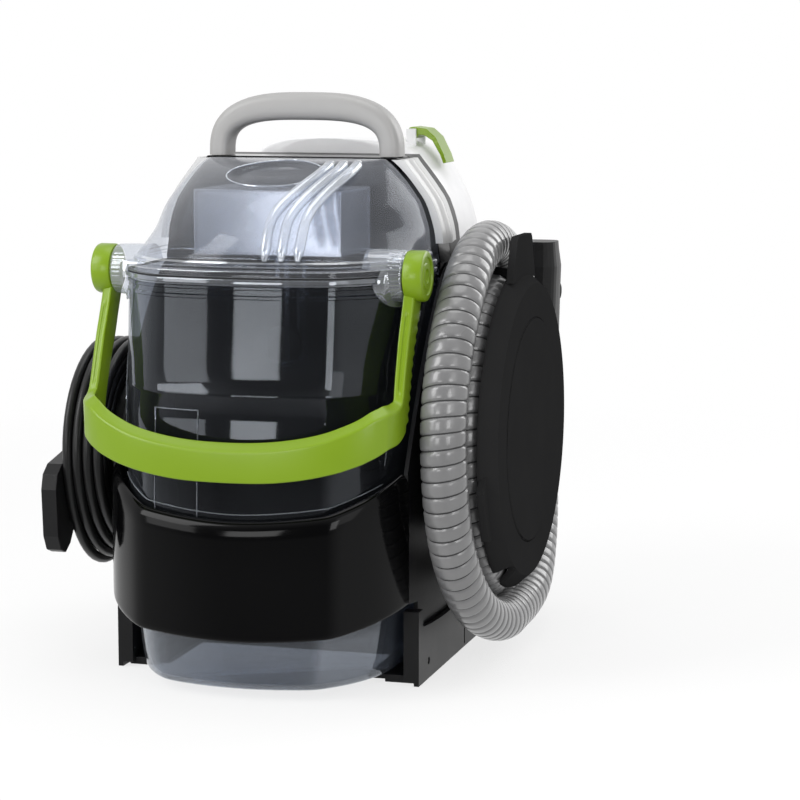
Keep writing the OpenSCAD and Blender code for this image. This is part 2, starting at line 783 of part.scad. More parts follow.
tool_x = -base_half - 17;
tool_y = 135;
tool_low = 128;
tool_top = 240;
tool_clip_low = 212;
tool_clip_high = 224;
tool_neck_r = 16;
mouth_half = 42;

function tool_ring(z, half_x, half_y, power) = [for (p = round_box(half_x, half_y, tool_x, tool_y,
    power, 28)) [p.x, p.y, z]];

module stain_tool() {
    color(smoke) difference() {
        skin([
            tool_ring(146, 6, mouth_half - 6, 6),
            tool_ring(tool_low, 7, mouth_half - 4, 6),
            tool_ring(tool_low, 11, mouth_half, 6),
            tool_ring(140, 11, mouth_half, 6),
            tool_ring(160, 12, 38, 4),
            tool_ring(188, 15, 22, 2.4),
            tool_ring(206, tool_neck_r, tool_neck_r, 2),
            tool_ring(tool_top, tool_neck_r, tool_neck_r, 2)]);
        translate([tool_x, tool_y, 205]) cylinder(h = tool_top - 204, r = tool_neck_r - 3, $fn = 64);
    }
}

module tool_bristles() {
    color(rubber) for (i = [-9:9], side = [-1, 1])
        translate([tool_x + side * 9, tool_y + i * 4.2, tool_low - 9]) cylinder(h = 9, r = 0.9, $fn = 8);
}

module tool_clip() {
    clip_r = tool_neck_r + seat;
    color(black_matt) difference() {
        union() {
            translate([tool_x, tool_y, tool_clip_low])
                cylinder(h = tool_clip_high - tool_clip_low, r = clip_r + 2.6, $fn = 64);
            box([tool_x, tool_y - 9, tool_clip_low], [-panel_out - seat, tool_y + 9, tool_clip_high]);
            box([-panel_out - seat - 2, tool_y - 9, deck_top - 30], [-panel_out - seat, tool_y + 9,
                tool_clip_high]);
        }
        translate([tool_x, tool_y, tool_clip_low - 1])
            cylinder(h = tool_clip_high - tool_clip_low + 2, r = clip_r, $fn = 64);
        box([tool_x - 40, tool_y - 30, tool_clip_low - 1], [tool_x - 4, tool_y + 30, tool_clip_high + 1]);
    }
}

// ---------- cord wrap ----------

reel_in = panel_out + seat;
reel_out = 137.5;
hook_t = 11;
hook_pin_y = -48;
hook_pin_z = 131;
hook_pin_r = 4;

module cord_drum() {
    color(black_satin) difference() {
        union() {
            difference() {
                rod_x(-reel_out, -reel_in, -reel_y, reel_z, reel_r);
                rod_x(-reel_out - 1, -reel_in - 3, -reel_y, reel_z, reel_r - 3);
            }
            intersection() {
                rod_x(-reel_out, -reel_in, hook_pin_y, hook_pin_z, 11);
                rod_x(-reel_out, -reel_in, -reel_y, reel_z, reel_r);
            }
            // Seat of the rear hook on the rim
            intersection() {
                rod_x(-reel_out, -reel_in, -reel_y, reel_z, reel_r);
                box([-reel_out, -reel_y + 36, reel_z - 4], [-reel_in, 60, reel_z + 30]);
            }
        }
        rod_x(-reel_out - 1, -reel_out + 20, hook_pin_y, hook_pin_z, hook_pin_r + run);
    }
}

// Turning hook that lets the whole winding slip off when it points inward
module cord_hook_front() {
    outline = [[-36, 141], [-52, 147], [-88, 140], [-96, 134], [-99, 124], [-97, 92], [-92, 82],
        [-84, 79], [-76, 84],
        [-56, 112], [-40, 118]];
    color(black_satin) union() {
        slab_x(-reel_out - seat - hook_t, -reel_out - seat, outline);
        rod_x(-reel_out - seat - hook_t, -reel_out - seat, hook_pin_y, hook_pin_z, 14);
        rod_x(-reel_out - seat, -reel_out + 19, hook_pin_y, hook_pin_z, hook_pin_r);
    }
}

module cord_hook_rear() {
    outline = [[18, 150], [34, 150], [62, 158], [68, 168], [66, 196], [58, 204], [48, 198], [32,
        176], [18, 170]];
    color(black_satin) slab_x(-reel_out - seat - hook_t, -reel_out - seat, outline);
}

coil_in = 108;
coil_out = 137.2;

// Outer form of the wound lead
module cord_coil() {
    color(rubber) translate([0, -reel_y, reel_z]) rotate([0, -90, 0]) rotate_extrude($fn = 96) polygon([
        [reel_r + seat, coil_in], [wound_r - 2, coil_in], [wound_r, coil_in + 2], [wound_r, coil_out - 2],
        [wound_r - 2, coil_out], [reel_r + seat, coil_out]]);
}

// Route of the lead from its strain relief to the winding, and of its free end down to the plug
lead_route = [[-112, 68, 79], [-112, 50, 79], [-112, 30, 79], [-112, 14, 79], [-112, 4, 79]];
tail_route = [[-133, 47, 142], [-133, 48, 128], [-133, 49, 114], [-133, 50, 100], [-133, 50, 90]];
lead_sides = 10;

module cord_lead() {
    color(rubber) tube(lead_route, lead_r, lead_sides, [1, 0, 0]);
}

module cord_tail() {
    color(rubber) tube(tail_route, lead_r, lead_sides, [1, 0, 0]);
}

module strain_relief() {
    start = lead_route[0];
    color(rubber) {
        translate([start.x, start.y, start.z]) rotate([-90, 0, 0]) cylinder(h = 32,
            r1 = lead_r + 1, r2 = 7, $fn = 48);
        box([start.x - 8, start.y + 32, start.z - 8], [-panel_out - seat, start.y + 46, start.z + 8]);
    }
}

module plug() {
    top = tail_route[len(tail_route) - 1];
    color(rubber) {
        translate([top.x, top.y, top.z - 16]) cylinder(h = 16, r1 = 7, r2 = lead_r + 1, $fn = 48);
        translate([top.x, top.y, top.z - 42]) linear_extrude(height = 26) polygon(round_box(8, 16,
            0, 0, 3, 36));
    }
    color(steel) for (side = [-1, 1]) translate([top.x, top.y + side * 9.5,
        top.z - 61]) cylinder(h = 19, r = 2.4, $fn = 32);
}

// ---------- motor, fan and pump ----------

motor_y = 132;
fan_low = floor_top + 12 + seat;
fan_high = 60;
fan_r = 60;
shaft_r = 4;
motor_low = fan_high + seat;
motor_high = 130;
can_r = 42;
impeller_r = 50;
blades = 9;

module motor_can() {
    color(steel) translate([0, motor_y, 0]) difference() {
        union() {
            translate([0, 0, motor_low]) cylinder(h = 3.5, r = can_r + 5, $fn = 64);
            translate([0, 0, motor_low]) cylinder(h = motor_high - motor_low - 12, r = can_r, $fn = 96);
            translate([0, 0, motor_high - 12]) cylinder(h = 12, r1 = can_r, r2 = 30, $fn = 96);
        }
        translate([0, 0, motor_low - 1]) cylinder(h = 12, r = shaft_r + run, $fn = 48);
        for (a = [0:60:300]) rotate([0, 0, a]) translate([can_r, 0, motor_low + 12])
            box([-6, -5, 0], [2, 5, 34]);
    }
}

module motor_mounts() {
    color(rubber) translate([0, motor_y, motor_high]) difference() {
        cylinder(h = dock_low - motor_high - seat, r = 29, $fn = 64);
        translate([0, 0, -1]) cylinder(h = 20, r = 20, $fn = 64);
    }
}

module fan_housing() {
    color(black_satin) translate([0, motor_y, 0]) difference() {
        rotate_extrude($fn = 96) polygon([[17, fan_low], [fan_r, fan_low], [fan_r, fan_high], [13,
            fan_high],
            [13, fan_high - 3], [fan_r - 3, fan_high - 3], [fan_r - 3, fan_low + 3], [17, fan_low + 3]]);
        // Exhaust mouth towards the vent
        box([-50, 30, fan_low + 6], [-14, fan_r + 2, fan_high - 6]);
    }
}

module impeller() {
    low = fan_low + 6;
    height = fan_high - 3 - 5 - low;
    color(silver_grey) translate([0, motor_y, low]) difference() {
        union() {
            cylinder(h = 2, r = impeller_r, $fn = 96);
            cylinder(h = height, r = 9, $fn = 48);
            for (i = [0:blades - 1]) rotate([0, 0, i * 360 / blades]) difference() {
                translate([28, -12, 1]) cylinder(h = height - 1, r = 22, $fn = 64);
                translate([28, -12, 0]) cylinder(h = height + 2, r = 20, $fn = 64);
                box([-60, -60, 0], [70, -12, height + 2]);
                box([-60, -60, 0], [12, 60, height + 2]);
            }
        }
        translate([0, 0, -1]) cylinder(h = height + 3, r = shaft_r, $fn = 48);
    }
}

module fan_shaft() {
    color(steel) translate([0, motor_y, fan_low + 5]) cylinder(h = motor_low + 10 - fan_low - 5,
        r = shaft_r, $fn = 48);
}

duct_half = 22;
duct_y0 = 30;
duct_y1 = 60;
duct_top = 320;

module air_duct() {
    t = 2;
    low = floor_top + seat;
    foot_top = fan_low - seat;
    color(black_matt) difference() {
        union() {
            box([-duct_half, duct_y0, low], [duct_half, duct_y1, duct_top]);
            box([-duct_half, duct_y0, low], [duct_half, motor_y + 20, foot_top]);
            rod_y(tank_back + seat, duct_y0 + 1, 0, port_z, port_r - seat);
        }
        box([-duct_half + t, duct_y0 + t, low + t], [duct_half - t, duct_y1 - t, duct_top - t]);
        box([-duct_half + t, duct_y0 + t, low + t], [duct_half - t, motor_y + 20 - t, foot_top - t]);
        rod_y(0, duct_y0 + t + 1, 0, port_z, port_r - 3);
        translate([0, motor_y, low + t]) cylinder(h = 20, r = 16, $fn = 64);
    }
}

pump_x = 80;
pump_y = 100;

module pump() {
    color(black_matt) {
        box([pump_x - 13, pump_y - 20, floor_top + seat], [pump_x + 13, pump_y + 20, 34]);
        translate([pump_x, pump_y, 34]) cylinder(h = 20, r = 11, $fn = 64);
    }
    color(brass_tone) rod_y(pump_y + 20, pump_y + 32, pump_x, 24, 3.5);
}

// Feed hose from the dock cup down to the pump
feed_r = 3;
feed_route = [[38, 133, 147], [50, 133, 147], [62, 133, 146], [72, 133, 138], [76, 134, 120], [78, 137, 90],
    [80, 141, 60], [80, 142, 44], [80, 142, 34], [80, 138, 24], [80, 132.3, 24]];

module pump_tube() {
    color(clear) tube(feed_route, feed_r, 8, [1, 0.4, 1]);
}

dock_low = 137.5;

module dock_cup() {
    cup_r = neck_r + 10;
    color(black_matt) translate([0, neck_y, 0]) difference() {
        union() {
            translate([0, 0, dock_low]) cylinder(h = deck_low - dock_low, r = cup_r, $fn = 96);
            translate([0, 0, deck_low - 3]) cylinder(h = 3, r = cup_r + 5, $fn = 96);
        }
        difference() {
            translate([0, 0, dock_low + 2.5]) cylinder(h = 40, r = cup_r - 2.5, $fn = 96);
            translate([0, 0, dock_low]) cylinder(h = 9, r = 5, $fn = 48);
        }
    }
}

// ---------- switch and vent ----------

rocker_r = 11;
rocker_half = 13;
rocker_y = base_back - 6;

module switch_frame() {
    w = switch_half_w - seat;
    h = switch_half_h;
    color(black_gloss) difference() {
        union() {
            box([switch_x - w, base_back - 16, switch_z - h + seat], [switch_x + w,
                base_back + 1.8, switch_z + h - seat]);
            box([switch_x - w - 3, base_back + seat, switch_z - h - 3], [switch_x + w + 3,
                base_back + 1.8, switch_z + h + 3]);
        }
        box([switch_x - rocker_half - 0.5, base_back - 14, switch_z - h + 1.2],
            [switch_x + rocker_half + 0.5, base_back + 3, switch_z + h - 1.2]);
        rod_x(switch_x - w - 1, switch_x + w + 1, rocker_y, switch_z, 2 + run);
    }
}

// Rocker: a drum about its own pivot, with a shallow finger dish
module switch_rocker() {
    color(black_satin) difference() {
        union() {
            rod_x(switch_x - rocker_half, switch_x + rocker_half, rocker_y, switch_z, rocker_r - 1.6);
            rod_x(switch_x - switch_half_w + seat, switch_x + switch_half_w - seat, rocker_y, switch_z, 2);
        }
        rod_x(switch_x - rocker_half + 1, switch_x + rocker_half - 1, rocker_y + 26, switch_z + 2, 18);
        box([switch_x - 20, rocker_y - 30, switch_z - 30], [switch_x + 20, rocker_y - 4, switch_z + 30]);
    }
}

module exhaust_grille() {
    x0 = vent_left + seat;
    x1 = vent_right - seat;
    z0 = vent_low + seat;
    z1 = vent_high - seat;
    slots = 11;
    pitch = (z1 - z0 - 4) / slots;
    color(black_matt) difference() {
        box([x0, base_back - panel_t, z0], [x1, base_back + 0.6, z1]);
        for (i = [0:slots - 1], k = [0, 1])
            box([x0 + 4 + k * (x1 - x0 - 5) / 2, base_back - 5, z0 + 3.5 + i * pitch],
                [x0 + 1.5 + (k + 1) * (x1 - x0 - 5) / 2, base_back + 2,
                    z0 + 3.5 + i * pitch + pitch - 2.2]);
    }
}

// ---------- dirty water tank ----------

tank_front_top = 125.5;

// Plan of the tank at height z
function tank_ring(z, half, front, shoulder, inset = 0) =
    ring_at(tank_plan(half - inset, front - inset, shoulder, tank_back - inset), z);

module tank_shell() {
    w = tank_wall;
    // [height, half width, front, shoulder]
    walls = [[tank_low, tank_half - 15, tank_front - 6, 48], [tank_low + 1.7, tank_half - 12,
        tank_front - 2.5, 49],
        [tank_low + 6, tank_half - 10.5, tank_front - 1, 50], [40, tank_half - 7, tank_front, 52],
        [100, tank_half - 1.5, tank_front, 54], [180, tank_half, tank_front - 4, 54],
        [250, tank_half, tank_front - 11, 51], [tank_rim - 3.6, tank_half, tank_front_top, 50]];
    n = len(walls) - 1;
    color(smoke) difference() {
        skin(concat(
            [for (s = walls) tank_ring(s[0], s[1], s[2], s[3])],
            [tank_ring(tank_rim - 3, tank_half + rim_out, tank_front_top + rim_out, 50, 0),
                tank_ring(tank_rim, tank_half + rim_out, tank_front_top + rim_out, 50, 0),
                tank_ring(tank_rim, tank_half, tank_front_top, 50, w)],
            [for (i = [n:-1:3]) tank_ring(walls[i][0], walls[i][1], walls[i][2], walls[i][3], w)],
            [tank_ring(tank_low + 8, tank_half - 10, tank_front - 1, 50, w),
                tank_ring(tank_low + w, tank_half - 14, tank_front - 5, 48, w)]));
        rod_y(tank_back - w - 1, tank_back + 1, inlet_x, port_bend.z, inlet_r - 2);
    }
}

module lid_gasket() {
    color(rubber) translate([0, 0, tank_rim]) linear_extrude(height = gasket_t) difference() {
        polygon(tank_plan(tank_half, tank_front_top, 50, tank_back - 1));
        polygon(tank_plan(tank_half - tank_wall, tank_front_top - tank_wall, 50,
            tank_back - 1 - tank_wall));
    }
}

// Dome: height, half width and front at angle t, from its foot to its top
dome_close = 351;
dome_front = 123;
dome_tip = 14;
function dome_z(t) = flange_top + 0.5 + (dome_rise - 0.5) * sin(t);
function dome_half(t) = arch_half(tank_half - 0.6, dome_z(t), dome_close);
function dome_reach(t) = dome_tip + (dome_front - dome_tip) * cos(t);
function dome_ring(t, inset) = let (f = dome_reach(t) - inset)
    ring_at(tank_plan(dome_half(t) - inset, f, f * 0.4, tank_back - inset), dome_z(t) - inset * sin(t));

module tank_lid() {
    w = tank_wall;
    steps = [for (i = [0:10]) i * 9];
    color(clear) difference() {
        skin(concat(
            [for (i = [10:-1:0]) dome_ring(steps[i], w)],
            [tank_ring(flange_low, tank_half, tank_front_top, 50, w),
                tank_ring(flange_low, tank_half + rim_out, tank_front_top + rim_out, 50, 0),
                tank_ring(flange_top, tank_half + rim_out, tank_front_top + rim_out, 50, 0)],
            [for (i = [0:10]) dome_ring(steps[i], 0)]));
        rod_y(tank_back - w - 1, tank_back + 1, 0, port_z, port_r - 3);
    }
}

rib_r = 2.2;
rib_count = 3;

// Point of the dome surface at x and angle t
function dome_point(x, t) = let (h = dome_half(t), f = dome_reach(t), s = f * 0.4)
    [x, prow_y(h, f, s, x), dome_z(t)];
function ease(t) = t * t * (3 - 2 * t);
function rib_route(k) = [for (i = [0:12])
    let (u = i / 12, t = 5 + 66 * u, x = 9 + 11 * k + (17 + 3 * k) * ease(min(1, max(0, (u - 0.3) / 0.6))),
        n = unit([0, -cos(t) / (dome_front - dome_tip), sin(t) / dome_rise]))
        dome_point(x, t) + n * (rib_r + 0.6)];

module lid_ribs() {
    color(clear) for (k = [0:rib_count - 1]) tube(rib_route(k), rib_r, 8, [1, 0, 0]);
}

sep_half = 51;
sep_front = 64;
sep_low = 281;
sep_top = 324;
float_y = -34;

// Baffle box under the dome, open towards the air port
module separator() {
    t = 2;
    back = tank_back - tank_wall - seat;
    color(clear) difference() {
        box([-sep_half, -sep_front, sep_low], [sep_half, back, sep_top]);
        box([-sep_half + t, -sep_front + t, sep_low + t], [sep_half - t, back + 1, sep_top - t]);
        translate([0, float_y, sep_low - 1]) cylinder(h = t + 2, r = 9, $fn = 48);
    }
}

cage_r = 17;
cage_low = 206;
ball_r = 13;
ball_z = cage_low + 4 + 8.7;

module float_cage() {
    top = sep_low - seat;
    color(clear) translate([0, float_y, 0]) {
        translate([0, 0, top - 3]) difference() {
            cylinder(h = 3, r = cage_r + 3, $fn = 64);
            translate([0, 0, -1]) cylinder(h = 5, r = cage_r - 2.4, $fn = 64);
        }
        translate([0, 0, cage_low]) difference() {
            cylinder(h = 4, r = cage_r, $fn = 64);
            translate([0, 0, -1]) cylinder(h = 6, r = 10, $fn = 64);
        }
        for (a = [0:60:300]) rotate([0, 0, a]) box([cage_r - 2.4, -1.5, cage_low], [cage_r, 1.5, top - 1]);
    }
}

module float_ball() {
    color(lime) translate([0, float_y, ball_z]) sphere(r = ball_r, $fn = 64);
}

// ---------- bail handle ----------

boss_in = bail_half - boss_t;

module bail_ears() {
    ear_out = boss_in - seat;
    gap = rim_out + seat;
    // Inside the tank's outline, so that the ear is cut to it
    ear_in = tank_half - 27;
    color(clear) both_sides() {
        difference() {
            rod_x(ear_in, ear_out, -bail_y, bail_z, ear_r);
            translate([0, 0, bail_z - 2 * ear_r]) linear_extrude(height = 4 * ear_r)
                polygon(tank_plan(tank_half + gap, tank_front_top + gap, 50, tank_back));
            rod_x(ear_in - 1, ear_out - 2.5, -bail_y - 13, bail_z - 12, 5);
        }
        rod_x(ear_out - 1, bail_half - 3, -bail_y, bail_z, bail_pin_r);
    }
}

// Side view of the bail: leg from the boss down to the front strap
function bail_side() = let (y0 = -bail_y, z0 = bail_z) [
    [y0 + 4, z0 - 12], [y0 - 11, z0 - 28], [y0 - 14, z0 - 47], [y0 - 21, z0 - 70], [y0 - 27, z0 - 94],
    [y0 - 30, z0 - 106], [y0 - 40, z0 - 120], [y0 - 56, z0 - 130], [-bail_front - 2, z0 - 137],
    [-bail_front - 2, z0 - 107], [y0 - 56, z0 - 102], [y0 - 52, z0 - 92], [y0 - 46, z0 - 72],
        [y0 - 36, z0 - 48],
    [y0 - 32, z0 - 28], [y0 - 16, z0 - 4]];

module bail() {
    color(lime) difference() {
        union() {
            intersection() {
                translate([0, 0, bail_z - 160]) linear_extrude(height = 180) difference() {
                    polygon(concat([[-bail_half, 0]], bow(bail_half, bail_front, bail_y + 2),
                        [[bail_half, 0]]));
                    polygon(concat([[-bail_half + bail_t, 1]],
                        bow(bail_half - bail_t, bail_front - bail_t, bail_y + 2),
                            [[bail_half - bail_t, 1]]));
                }
                slab_x(-bail_half - 1, bail_half + 1, bail_side());
            }
            both_sides() rod_x(boss_in, bail_half - 0.5, -bail_y, bail_z, boss_r);
        }
        both_sides() rod_x(boss_in - 1, bail_half - 2.4, -bail_y, bail_z, bail_pin_r + run);
        // Finger hollows down the outer rear edge of each leg
        both_sides() for (i = [0:6])
            rod_x(bail_half - 1.2, bail_half + 1, -bail_y - 10 - i * 2.9, bail_z - 34 - i * 9, 2.4);
    }
}

// ---------- clean water tank ----------

function clean_ring(z, half, back, inset) = let (y0 = clean_front + inset, y1 = back - inset)
    ring_at(round_box(half - inset, (y1 - y0) / 2, 0, (y0 + y1) / 2, 4.5), z);
function neck_ring(z, r) = ring_at(round_box(r, r, 0, neck_y, 2), z);

module clean_tank() {
    w = tank_wall;
    top = clean_top;
    // [height, half width, rear face]
    walls = [[clean_low + 6, clean_half, clean_back], [240, clean_half, clean_back], [280,
        clean_half - 2, clean_back - 1],
        [306, clean_half - 8, clean_back - 4], [328, clean_half - 18, clean_back - 10],
        [342, clean_half - 29, clean_back - 17], [top - 2.5, clean_half - 38, clean_back - 25]];
    n = len(walls) - 1;
    color(clear) {
        skin(concat(
            [clean_ring(top - w, clean_half - 42, clean_back - 29, w)],
            [for (i = [n:-1:0]) clean_ring(walls[i][0] - (i == n ? w : 0), walls[i][1], walls[i][2], w)],
            [clean_ring(clean_low + w, clean_half - 6, clean_back - 5, w),
                neck_ring(clean_low + w, neck_r - w), neck_ring(clean_low - neck_l + 1.3, neck_r - w),
                neck_ring(clean_low - neck_l + 1.3, neck_r), neck_ring(clean_low, neck_r),
                clean_ring(clean_low, clean_half - 5, clean_back - 5, 0)],
            [for (s = walls) clean_ring(s[0], s[1], s[2], 0)],
            [clean_ring(top, clean_half - 42, clean_back - 29, 0)]));
        for (side = [-1, 1]) translate([0, latch_y + side * (latch_w / 2 + 0.4 + latch_ear_t / 2), 0])
            box([latch_x - 4, -latch_ear_t / 2, latch_z - 6], [latch_x + 3, latch_ear_t / 2, latch_z + 3]);
        rod_y(latch_y - latch_w / 2 - 1, latch_y + latch_w / 2 + 1, latch_x, latch_z, latch_pin_r);
    }
}

module clean_cap() {
    inner = neck_r + 0.4;
    low = clean_low - neck_l - 1.7;
    color(black_matt) translate([0, neck_y, low]) difference() {
        union() {
            cylinder(h = neck_l + 1.2, r = inner + 3.4, $fn = 96);
            for (a = [0:20:340]) rotate([0, 0, a]) translate([inner + 3.2, 0,
                0]) cylinder(h = neck_l + 1.2, r = 1.2, $fn = 16);
        }
        translate([0, 0, 2.6]) cylinder(h = neck_l + 2, r = inner, $fn = 96);
        translate([0, 0, -1]) cylinder(h = 6, r = 6, $fn = 48);
    }
}

latch_y = 122;
latch_x = 50;
latch_z = clean_top + 3;
latch_w = 22;
latch_ear_t = 2.4;
latch_pin_r = 2;

// Latch over the right upper edge of the clean tank, hinged on its ears
module clean_latch() {
    outline = [[0, 4.2], [10, 3], [17, -3], [23, -15], [25, -21], [22.5, -21.5], [20, -15], [14.5,
        -5.5], [8, -1.4], [0, -1.5]];
    color(lime) difference() {
        union() {
            rod_y(latch_y - latch_w / 2, latch_y + latch_w / 2, latch_x, latch_z, 4.2);
            slab_y(latch_y - latch_w / 2, latch_y + latch_w / 2, [for (p = outline) [latch_x + p.x,
                latch_z + p.y]]);
        }
        rod_y(latch_y - latch_w / 2 - 1, latch_y + latch_w / 2 + 1, latch_x, latch_z, latch_pin_r + run);
    }
}

// ---------- drawing ----------

base_frame();
rubber_feet();
rear_housing();
tower_front_shell();
tower_rear_shell();
side_panel_right();
side_panel_left();
front_band();
case_screws();
carry_handle();
handle_back();
trim_arch();
rack_drum();
rack_disc();
rack_cover();
rack_screws();
hose_port();
hose();
hose_cuffs();
inlet_pipe();
grip_left();
grip_right();
trigger_mount();
trigger();
grip_clip();
stain_tool();
tool_bristles();
tool_clip();
cord_drum();
cord_hook_front();
cord_hook_rear();
cord_coil();
cord_lead();
cord_tail();
plug();
strain_relief();
motor_can();
motor_mounts();
fan_housing();
impeller();
fan_shaft();
air_duct();
pump();
pump_tube();
dock_cup();
switch_frame();
switch_rocker();
exhaust_grille();
tank_shell();
tank_lid();
lid_gasket();
lid_ribs();
separator();
float_cage();
float_ball();
bail_ears();
bail();
clean_tank();
clean_cap();
clean_latch();
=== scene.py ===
from bisect import bisect_right
from math import asin, atan2, copysign, cos, degrees, hypot, pi, radians, sin

import bpy
from mathutils import Euler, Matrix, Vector


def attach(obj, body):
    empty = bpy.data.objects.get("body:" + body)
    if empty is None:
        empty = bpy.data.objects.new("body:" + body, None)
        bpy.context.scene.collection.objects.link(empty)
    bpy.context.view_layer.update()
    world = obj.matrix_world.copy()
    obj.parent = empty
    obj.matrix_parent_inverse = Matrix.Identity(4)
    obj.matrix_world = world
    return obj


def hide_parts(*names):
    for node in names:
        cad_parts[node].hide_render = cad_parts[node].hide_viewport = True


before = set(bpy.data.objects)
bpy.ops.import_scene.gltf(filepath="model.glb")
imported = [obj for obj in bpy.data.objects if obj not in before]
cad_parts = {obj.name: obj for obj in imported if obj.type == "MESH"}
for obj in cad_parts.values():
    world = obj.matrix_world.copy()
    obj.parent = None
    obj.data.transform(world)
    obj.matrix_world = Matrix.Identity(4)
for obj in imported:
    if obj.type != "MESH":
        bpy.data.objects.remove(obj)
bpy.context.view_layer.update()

bl_info = {
    "name": "Spot extractor dressing",
    "version": (1, 0, 0),
    "blender": (4, 5, 0),
    "location": "View3D > Sidebar > Extractor",
    "description": "Builds the visible pieces, finishes and stage of a portable spot extractor",
    "category": "Object",
}

# Lengths in the outlines below are in millimetres, and MM turns them into metres
MM = 0.001
# Straight across the machine, but a hair off, so that no route runs along it
ACROSS = (1, 0, 0.0001)


# ---- settings


class ExtractorSizes(bpy.types.PropertyGroup):
    """Sizes of the visible pieces"""

    hose_diameter: bpy.props.FloatProperty(
        name="Hose diameter", description="Outer diameter of the hose", default=0.030, unit="LENGTH")
    hose_pitch: bpy.props.FloatProperty(
        name="Hose pitch", description="Distance from one rib of the hose to the next", default=0.0094,
        unit="LENGTH")
    hose_groove: bpy.props.FloatProperty(
        name="Hose groove", description="Depth of the groove between two ribs", default=0.0011, unit="LENGTH")
    lead_diameter: bpy.props.FloatProperty(
        name="Lead diameter", description="Diameter of the mains lead", default=0.007, unit="LENGTH")
    wall: bpy.props.FloatProperty(
        name="Tank wall", description="Wall of the dirty water tank", default=0.0026, unit="LENGTH")
    edge: bpy.props.FloatProperty(
        name="Edge radius", description="Softening of the moulded edges", default=0.0006, unit="LENGTH")


class ExtractorColours(bpy.types.PropertyGroup):
    """Colours of the finishes"""

    lime: bpy.props.FloatVectorProperty(
        name="Lime", description="Bail, latch and trigger", default=(0.185, 0.30, 0.008), size=3,
        subtype="COLOR")
    silver: bpy.props.FloatVectorProperty(
        name="Silver grey", description="Carry handle", default=(0.35, 0.346, 0.342), size=3, subtype="COLOR")
    trim: bpy.props.FloatVectorProperty(
        name="Trim grey", description="Rails over the shoulders", default=(0.62, 0.62, 0.62), size=3,
        subtype="COLOR")
    smoke: bpy.props.FloatVectorProperty(
        name="Smoke tint", description="What the dirty water tank lets through", default=(0.655, 0.675, 0.71),
        size=3, subtype="COLOR")
    clear: bpy.props.FloatVectorProperty(
        name="Clear tint", description="What the lid lets through", default=(0.86, 0.88, 0.92),
        size=3, subtype="COLOR")
    hose: bpy.props.FloatVectorProperty(
        name="Hose grey", description="Ribs of the hose", default=(0.17, 0.17, 0.172), size=3, subtype="COLOR")


# ---- shader maths


def fill(tree, place, item):
    """Link a value to a socket, or set the socket to a plain number or colour"""
    if isinstance(item, Value):
        tree.links.new(item.socket, place)
    else:
        place.default_value = item


class Value:
    """A shader socket that can stand in a Python expression"""

    def __init__(self, tree, socket):
        self.tree = tree
        self.socket = socket

    def pick(self, key):
        """Another output of the same node"""
        return Value(self.tree, self.socket.node.outputs[key])

    def step(self, operation, first, second, clamp=False):
        node = self.tree.nodes.new("ShaderNodeMath")
        node.operation = operation
        node.use_clamp = clamp
        fill(self.tree, node.inputs[0], first)
        fill(self.tree, node.inputs[1], second)
        return Value(self.tree, node.outputs[0])

    def __add__(self, other):
        return self.step("ADD", self, other)

    def __radd__(self, other):
        return self.step("ADD", other, self)

    def __sub__(self, other):
        return self.step("SUBTRACT", self, other)

    def __rsub__(self, other):
        return self.step("SUBTRACT", other, self)

    def __mul__(self, other):
        return self.step("MULTIPLY", self, other)

    def __rmul__(self, other):
        return self.step("MULTIPLY", other, self)

    def __pow__(self, other):
        return self.step("POWER", self, other)

    def __rpow__(self, other):
        return self.step("POWER", other, self)

    def clamped(self):
        return self.step("ADD", self, 0.0, clamp=True)

    def most(self, other):
        return self.step("MAXIMUM", self, other)

    def over(self, limit):
        return self.step("GREATER_THAN", self, limit)


class Finish:
    """The node tree of a material or of the world, under construction"""

    def __init__(self, tree, output):
        self.tree = tree
        tree.nodes.clear()
        self.output = tree.nodes.new(output)

    def add(self, kind, settings=None, **sockets):
        """One node: its settings first, then the values or links of its sockets, by name or as _number"""
        node = self.tree.nodes.new("ShaderNode" + kind)
        for key, value in (settings or {}).items():
            setattr(node, key, value)
        for key, value in sockets.items():
            place = node.inputs[int(key[1:])] if key[0] == "_" else node.inputs[key.replace("_", " ")]
            fill(self.tree, place, value)
        return Value(self.tree, node.outputs[0])

    def place(self):
        return self.add("TexCoord").pick("Object")

    def height(self):
        return self.add("SeparateXYZ", Vector=self.place()).pick("Z")

    def noise(self, size, detail=2.0):
        """Even noise whose grains are about size metres wide, from 0 to 1"""
        return self.add("TexNoise", Vector=self.place(), Scale=1.0 / size, Detail=detail)

    def mix(self, share, first, second):
        """A colour between two colours"""
        return self.add("Mix", {"data_type": "RGBA"}, _0=share, _6=(*first, 1.0), _7=(*second, 1.0)).pick(2)

    def bump(self, height, strength):
        return self.add("Bump", Height=height, Strength=strength, Distance=BUMP_DEPTH)

    def show(self, shader):
        self.tree.links.new(shader.socket, self.output.inputs["Surface"])


def new_finish(name):
    material = bpy.data.materials.new("finish_" + name)
    material.use_nodes = True
    return Finish(material.node_tree, "ShaderNodeOutputMaterial")


def shade(colour, factor):
    return tuple(min(1.0, c * factor) for c in colour)


# Metres across the clouds of tone in a solid moulding and in a clear one, and how deep a full bump is
CLOUDS = 0.035
MIST = 0.05
BUMP_DEPTH = 0.0002
# Metres over which the paler foot of a clear moulding fades; the paler foot is painted light for the pale floor
# showing in it
PALE_FOOT_FADE = 0.012


